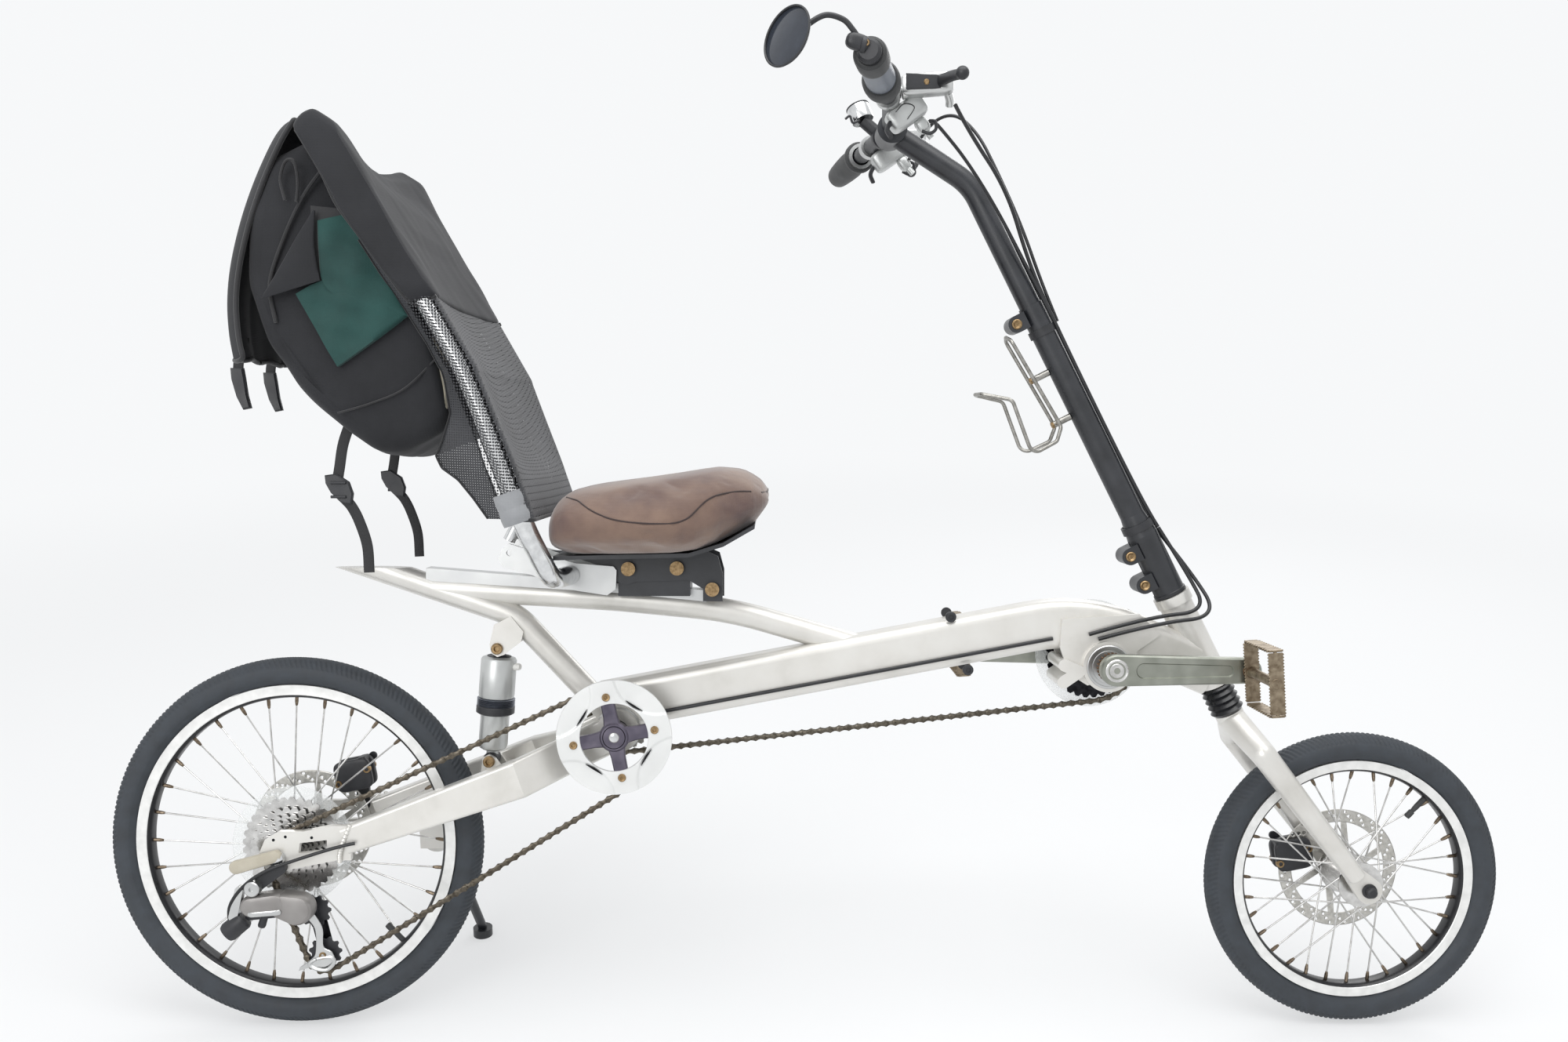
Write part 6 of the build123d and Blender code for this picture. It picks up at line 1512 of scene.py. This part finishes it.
# %% [markdown]
# Socket bolts clamp the riser at its foot and at its head, and two more sit on its rear face. Black
# clips hold the cables to it, and a dark slit and a ring mark its foot.

# %% Clamp bolts, clips and foot of the riser
steer_up = np.array([-np.sin(np.radians(27)), 0, np.cos(np.radians(27))])
steer_front = np.array([np.cos(np.radians(27)), 0, np.sin(np.radians(27))])
head_top = np.array([1144.0, 0, 572.0])


def on_steering(height, forward=0.0, y=0.0):
    """A point by its height up the steering axis from the top cup, and its way forward and left."""
    return head_top + steer_up * height + steer_front * forward + (0, y, 0)


clamp_bolt = [(0, 15.4), (2.4, 15.4), (2.9, 17.6), (5.2, 19.4), (6.4, 18.6), (6.8, 17.2)]
rear_bolt = [(0, 1.4), (2, 1.4), (2.4, 3.4), (4.2, 3.2), (4.6, 0)]
riser_bolts = []
for height in (28.0, 70.0, 405.0):
    for side in (-1, 1):
        riser_bolts.append(lathe(on_steering(height, -29.0), (0, side, 0), clamp_bolt, 26))
for height in (331.0, 267.0):
    riser_bolts.append(lathe(on_steering(height, -40.0), -steer_front, rear_bolt, 18))
clip_profiles = {382.0: [(16, -5), (18.2, -5), (18.2, 5), (16, 5)],
                 99.0: [(19.4, -5), (21.6, -5), (21.2, 5), (19, 5)]}
clips = [lathe(on_steering(height), steer_up, profile, 44, closed=True)
         for height, profile in clip_profiles.items()]
slit_corners = ((2.0, -20.4), (86.0, -20.4), (86.0, -19.0), (2.0, -19.0))
slit = slab([on_steering(*corner)[[0, 2]] for corner in slit_corners], -1.2, 1.2, 0.1)
foot_ring = lathe(head_top, steer_up, [(20.1, -0.6), (21.4, 0.2), (21.4, 4), (20.1, 5)], 50, closed=True)
piece("riser_bolts", joined(*riser_bolts), brass, "steering", sharp=30)
piece("riser_clips", joined(*clips, slit, foot_ring), black_plastic, "steering", sharp=30)

# %% [markdown]
# ## Shock and brakes
# The shock is a turned silver can with a ridged collar and a black ring, held by a bolt at each end.
# Each disc brake caliper is a black casting that straddles its rotor, with bolt heads on both faces
# and a short arm.

# %% Shock
shock_top, shock_foot = np.array([266.0, 0, 500.0]), np.array([254.0, 0, 352.0])
shock_way = unit(shock_foot - shock_top)
upper_can = lathe(shock_top, shock_way, [(0, 12), (14, 12), (21.5, 14.5), (23, 17), (23.2, 62),
                                         (22.6, 66), (20.8, 67.2), (0, 67.2)], 60)
collar_steps = [(0, 66)] + [(24.6 if step % 2 else 22.8, 67.0 + step * 1.1) for step in range(10)] + [(0, 78)]
collar = lathe(shock_top, shock_way, collar_steps, 60)
black_ring = lathe(shock_top, shock_way, [(0, 77.4), (24, 77.4), (24.8, 78.6), (24.8, 86.6),
                                          (22, 88.4), (0, 88.4)], 60)
neck = lathe(shock_top, shock_way, [(0, 0), (8, 0), (8, 11), (15.6, 12), (15.6, 14), (0, 14)], 40)
lower_can = lathe(shock_top, shock_way, [(0, 88), (18.6, 88), (18.8, 129), (17.2, 133.5), (13, 136),
                                         (7.8, 137.5), (7.8, 148), (0, 148)], 56)
shock_eye = [(0, -11), (9, -11), (10, -10), (10, 10), (9, 11), (0, 11)]
shock_bolt = [(0, 19.6), (3.2, 19.6), (3.8, 22.4), (6.4, 22.4), (7.4, 21.4), (7.6, 17.4), (0, 17.4)]
valve_cap = [(0, -2), (4.2, -2), (4.6, 0), (4.6, 7), (3.6, 8.6), (0, 8.6)]
eyes, bolts = [], []
for place in (shock_top, shock_foot):
    eyes.append(lathe(place, (0, 1, 0), shock_eye, 36))
    for side in (-1, 1):
        bolts.append(lathe(place, (0, side, 0), shock_bolt, 26))
air_valve = lathe(shock_top + shock_way * 26 + (22.0, -6.0, 0), (0.9, -0.35, 0.1), valve_cap, 20)
piece("shock_body", [joined(upper_can, lower_can), collar, joined(black_ring, neck, *eyes), air_valve],
      [changer_cast_light, ridged_grey, black_plastic, white_plastic], "frame",
      ["shock"], 32)
piece("shock_bolts", joined(*bolts), brass, "frame", sharp=32)

# %% Brake calipers
caliper_table = [  # name, body, centre, rotor's y, bridge's x and z, plug's depth, arm's y, arm's end in x
    ("front", "steering", np.array([1328.0, 39.0, 214.0]), 36.5, (-18.0, 10.0), 1.4, 12.0, -20.0),
    ("rear", "frame", np.array([58.0, 56.7, 318.0]), 51.0, (12.0, 17.0), 5.0, 15.0, 18.0)]
for name, body, centre, disc_y, bridge, plug_out, arm_out, arm_x in caliper_table:
    parts, small = [], []
    for middle, thick in ((-7.4, 9.0), (9.4, 13.0)):
        half_at = (centre[0], disc_y + middle, centre[2])
        parts.append(pod(half_at, (50.0, thick, 42.0), (1, 0, 0.2), (0, 0, 1), 0.42))
    bridge_at = (centre[0] + bridge[0], disc_y + 1.5, centre[2] + bridge[1])
    parts.append(pod(bridge_at, (12.0, 24.0, 16.0), (1, 0, 0.2), (0, 0, 1), 0.4))
    plug = [(0, -4), (15, -4), (15.4, plug_out - 1), (13.6, plug_out), (0, plug_out)]
    parts.append(lathe(centre + (4.0, 13.5, -2.0), (0, 1, 0), plug, 36))
    arm_y, arm_end = centre[1] + arm_out, centre + (arm_x, 0, 20.0)
    arm = capsule((centre[0] + 4.0, centre[2] - 2.0), (arm_end[0], arm_end[2]), 8.0, 5.5)
    parts.append(stacked([(arm, y) for y in (arm_y - 1.6, arm_y + 1.6)]))
    for dx, dz in ((-19.0, -12.0), (19.0, 9.0)):
        for out, face in ((1, 15.0), (-1, 11.0)):
            head = [(0, face), (2.4, face), (2.8, face + 1.6), (4.6, face + 1.6), (5.2, face + 0.6),
                    (5.2, face - 4.0), (0, face - 4.0)]
            small.append(lathe((centre[0] + dx, disc_y, centre[2] + dz), (0, out, 0), head, 18))
    if name == "rear":
        parts.append(stacked([(capsule((64.0, 272.0), (62.0, 308.0), 8.6, 9.0), y) for y in (72.0, 66.0)]))
    piece(f"{name}_brake_caliper", [joined(*parts), joined(*small)], [black_plastic, brass], body,
          [f"{name}_caliper"], 34)

# %% Screws of the bracket and the beam
bracket_screw = [(0, -1.2), (3.4, -1.2), (3.4, 0.2), (2.2, 0.4), (0, 0.4)]
beam_screw = [(0, -2), (7, -2), (7, 1.2), (5.8, 2.4), (3.4, 2.6), (3.2, 1.2), (0, 1.2)]
screws = [lathe((1052.0, -24.6, 487.0), (0, -1, 0), bracket_screw, 18)]
for x, z in ((853.0, 543.0), (876.0, 474.0)):
    for side in (-1, 1):
        screws.append(lathe((x, side * 22.0, z), (0, side, 0), beam_screw, 24))
piece("frame_screws", joined(*screws), black_plastic, "frame", sharp=32)

# %% Axle nuts of the front wheel
axle_nut = [(0, 69), (4.6, 69), (6.4, 67.6), (7, 61), (9.2, 60.4), (9.6, 58.2), (0, 58.2)]
axle_caps = [lathe((front_hub[0], 0, front_hub[1]), (0, side, 0), axle_nut, 30) for side in (-1, 1)]
piece("front_axle_nuts", joined(*axle_caps), black_plastic, "steering", sharp=32)

# %% [markdown]
# ## Cables
# The cables of the model are 5 mm housing. A right and a left one run down the riser to its clip, and
# from there loop round the head tube into the bracket. They are NURBS lines whose control points are
# the model's own route points, given as height up the steering axis, distance forward of it, and
# distance to the left. Two shift cables and the derailleur's cable, 4.4 mm thick, are added to them.

# %% Routes of the cables
riser_routes = {"right": [(668, -6, -136), (640, 2, -104), (560, 26, -52), (470, 20, -12),
                          (385, 16.8, -9), (122, 16.8, -9), (88, 21.4, -9)],
                "left": [(690, -6, 150), (640, 10, 104), (560, 26, 52), (470, 20, 12), (385, 16.8, 9),
                         (122, 16.8, 9), (88, 21.4, 9)]}
loop_routes = {"right": [(87, 21.4, -9), (16, 28, -16), (-34, 24, -36), (-7, -44, -36), (7, -124, -31.3)],
               "left": [(87, 21.4, 9), (14, 36, -3), (-46, 34, -40), (-17, -40, -42), (-4, -116, -31.3)]}
beam_route = [(985, -24.8, 515.6), (727, -24.8, 466.5), (470, -24.8, 417.6)]
housing_diameter = 5.0


def cable_curve(name, points):
    """An open NURBS curve of order 3 whose control points are the route's points, in the parked frame."""
    curve = bpy.data.curves.new(name, "CURVE")
    curve.dimensions, curve.resolution_u = "3D", 16
    spline = curve.splines.new("NURBS")
    places = park(np.array(points, float))
    spline.points.add(len(places) - 1)
    spline.points.foreach_set("co", np.hstack([places, np.ones((len(places), 1))]).ravel())
    spline.order_u, spline.use_endpoint_u = 3, True
    thing = bpy.data.objects.new(name, curve)
    bpy.context.scene.collection.objects.link(thing)
    return thing


def line_of(thing):
    """The points of a curve's own line in metres, as a mesh made from it gives them."""
    bpy.context.view_layer.update()
    mesh = bpy.data.meshes.new_from_object(thing)
    line = np.zeros(len(mesh.vertices) * 3)
    mesh.vertices.foreach_get("co", line)
    return line.reshape(-1, 3)


def length_of(line):
    """Length of a line of points."""
    return float(np.linalg.norm(np.diff(line, axis=0), axis=1).sum())


# %% Cables on the riser and along the beam
def housing(name, points, body, nodes=(), diameter=housing_diameter):
    """A cable's outer housing as a bevelled curve. The length of its line is measured and printed."""
    thing = cable_curve(name, points)
    length = length_of(line_of(thing))
    thing.data.bevel_depth, thing.data.bevel_resolution = diameter / 2000, 4
    thing.data.use_fill_caps = True
    thing.data.materials.append(cable_cover)
    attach(thing, body)
    if nodes:
        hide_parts(*nodes)
    print(name, round(length, 3), "m")


for name, route in riser_routes.items():
    housing(f"riser_cable_{name}", [on_steering(*place) for place in route], "steering", ["riser_cables"])
housing("beam_cable_run", beam_route, "frame", ["beam_cable"])

# %% Loops round the head tube
for name, route in loop_routes.items():
    points = [on_steering(*place) for place in route]
    guide = cable_curve(f"loop_guide_{name}", points)
    line = line_of(guide)
    bpy.data.objects.remove(guide)
    loop = piece(f"loop_cable_{name}", tube((line - origin) @ turn * 1000, housing_diameter / 2, 12),
                 cable_cover, "steering")
    loop.parent = None
    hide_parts("loop_cables")
    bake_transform(loop)

# %% Shift cables at the bar, and the cable of the derailleur
shift_run = [(99, -82, 264), (81, -84, 261), (31, -88, 246), (-18, -90, 229),
             (-48, -90, 203), (-61, -88, 175), (-54, -85, 156)]
extra_routes = {
    "shift_cable_left": ([(806, 99, 1152), (824, 80, 1190), (858, 54, 1206),
                          (888, 32, 1174), (912, 16, 1120), (942, 2, 1048),
                          (970, -4, 968), (989, -4, 925)], "steering"),
    "shift_cable_right": ([(802, -95, 1150), (812, -92, 1160), (826, -82, 1150),
                           (862, -54, 1118), (905, -30, 1062), (948, -14, 990),
                           (984, -10, 924)], "steering"),
    "derailleur_cable": (shift_run, "frame")}
for name, (route, body) in extra_routes.items():
    housing(name, route, body, diameter=4.4)
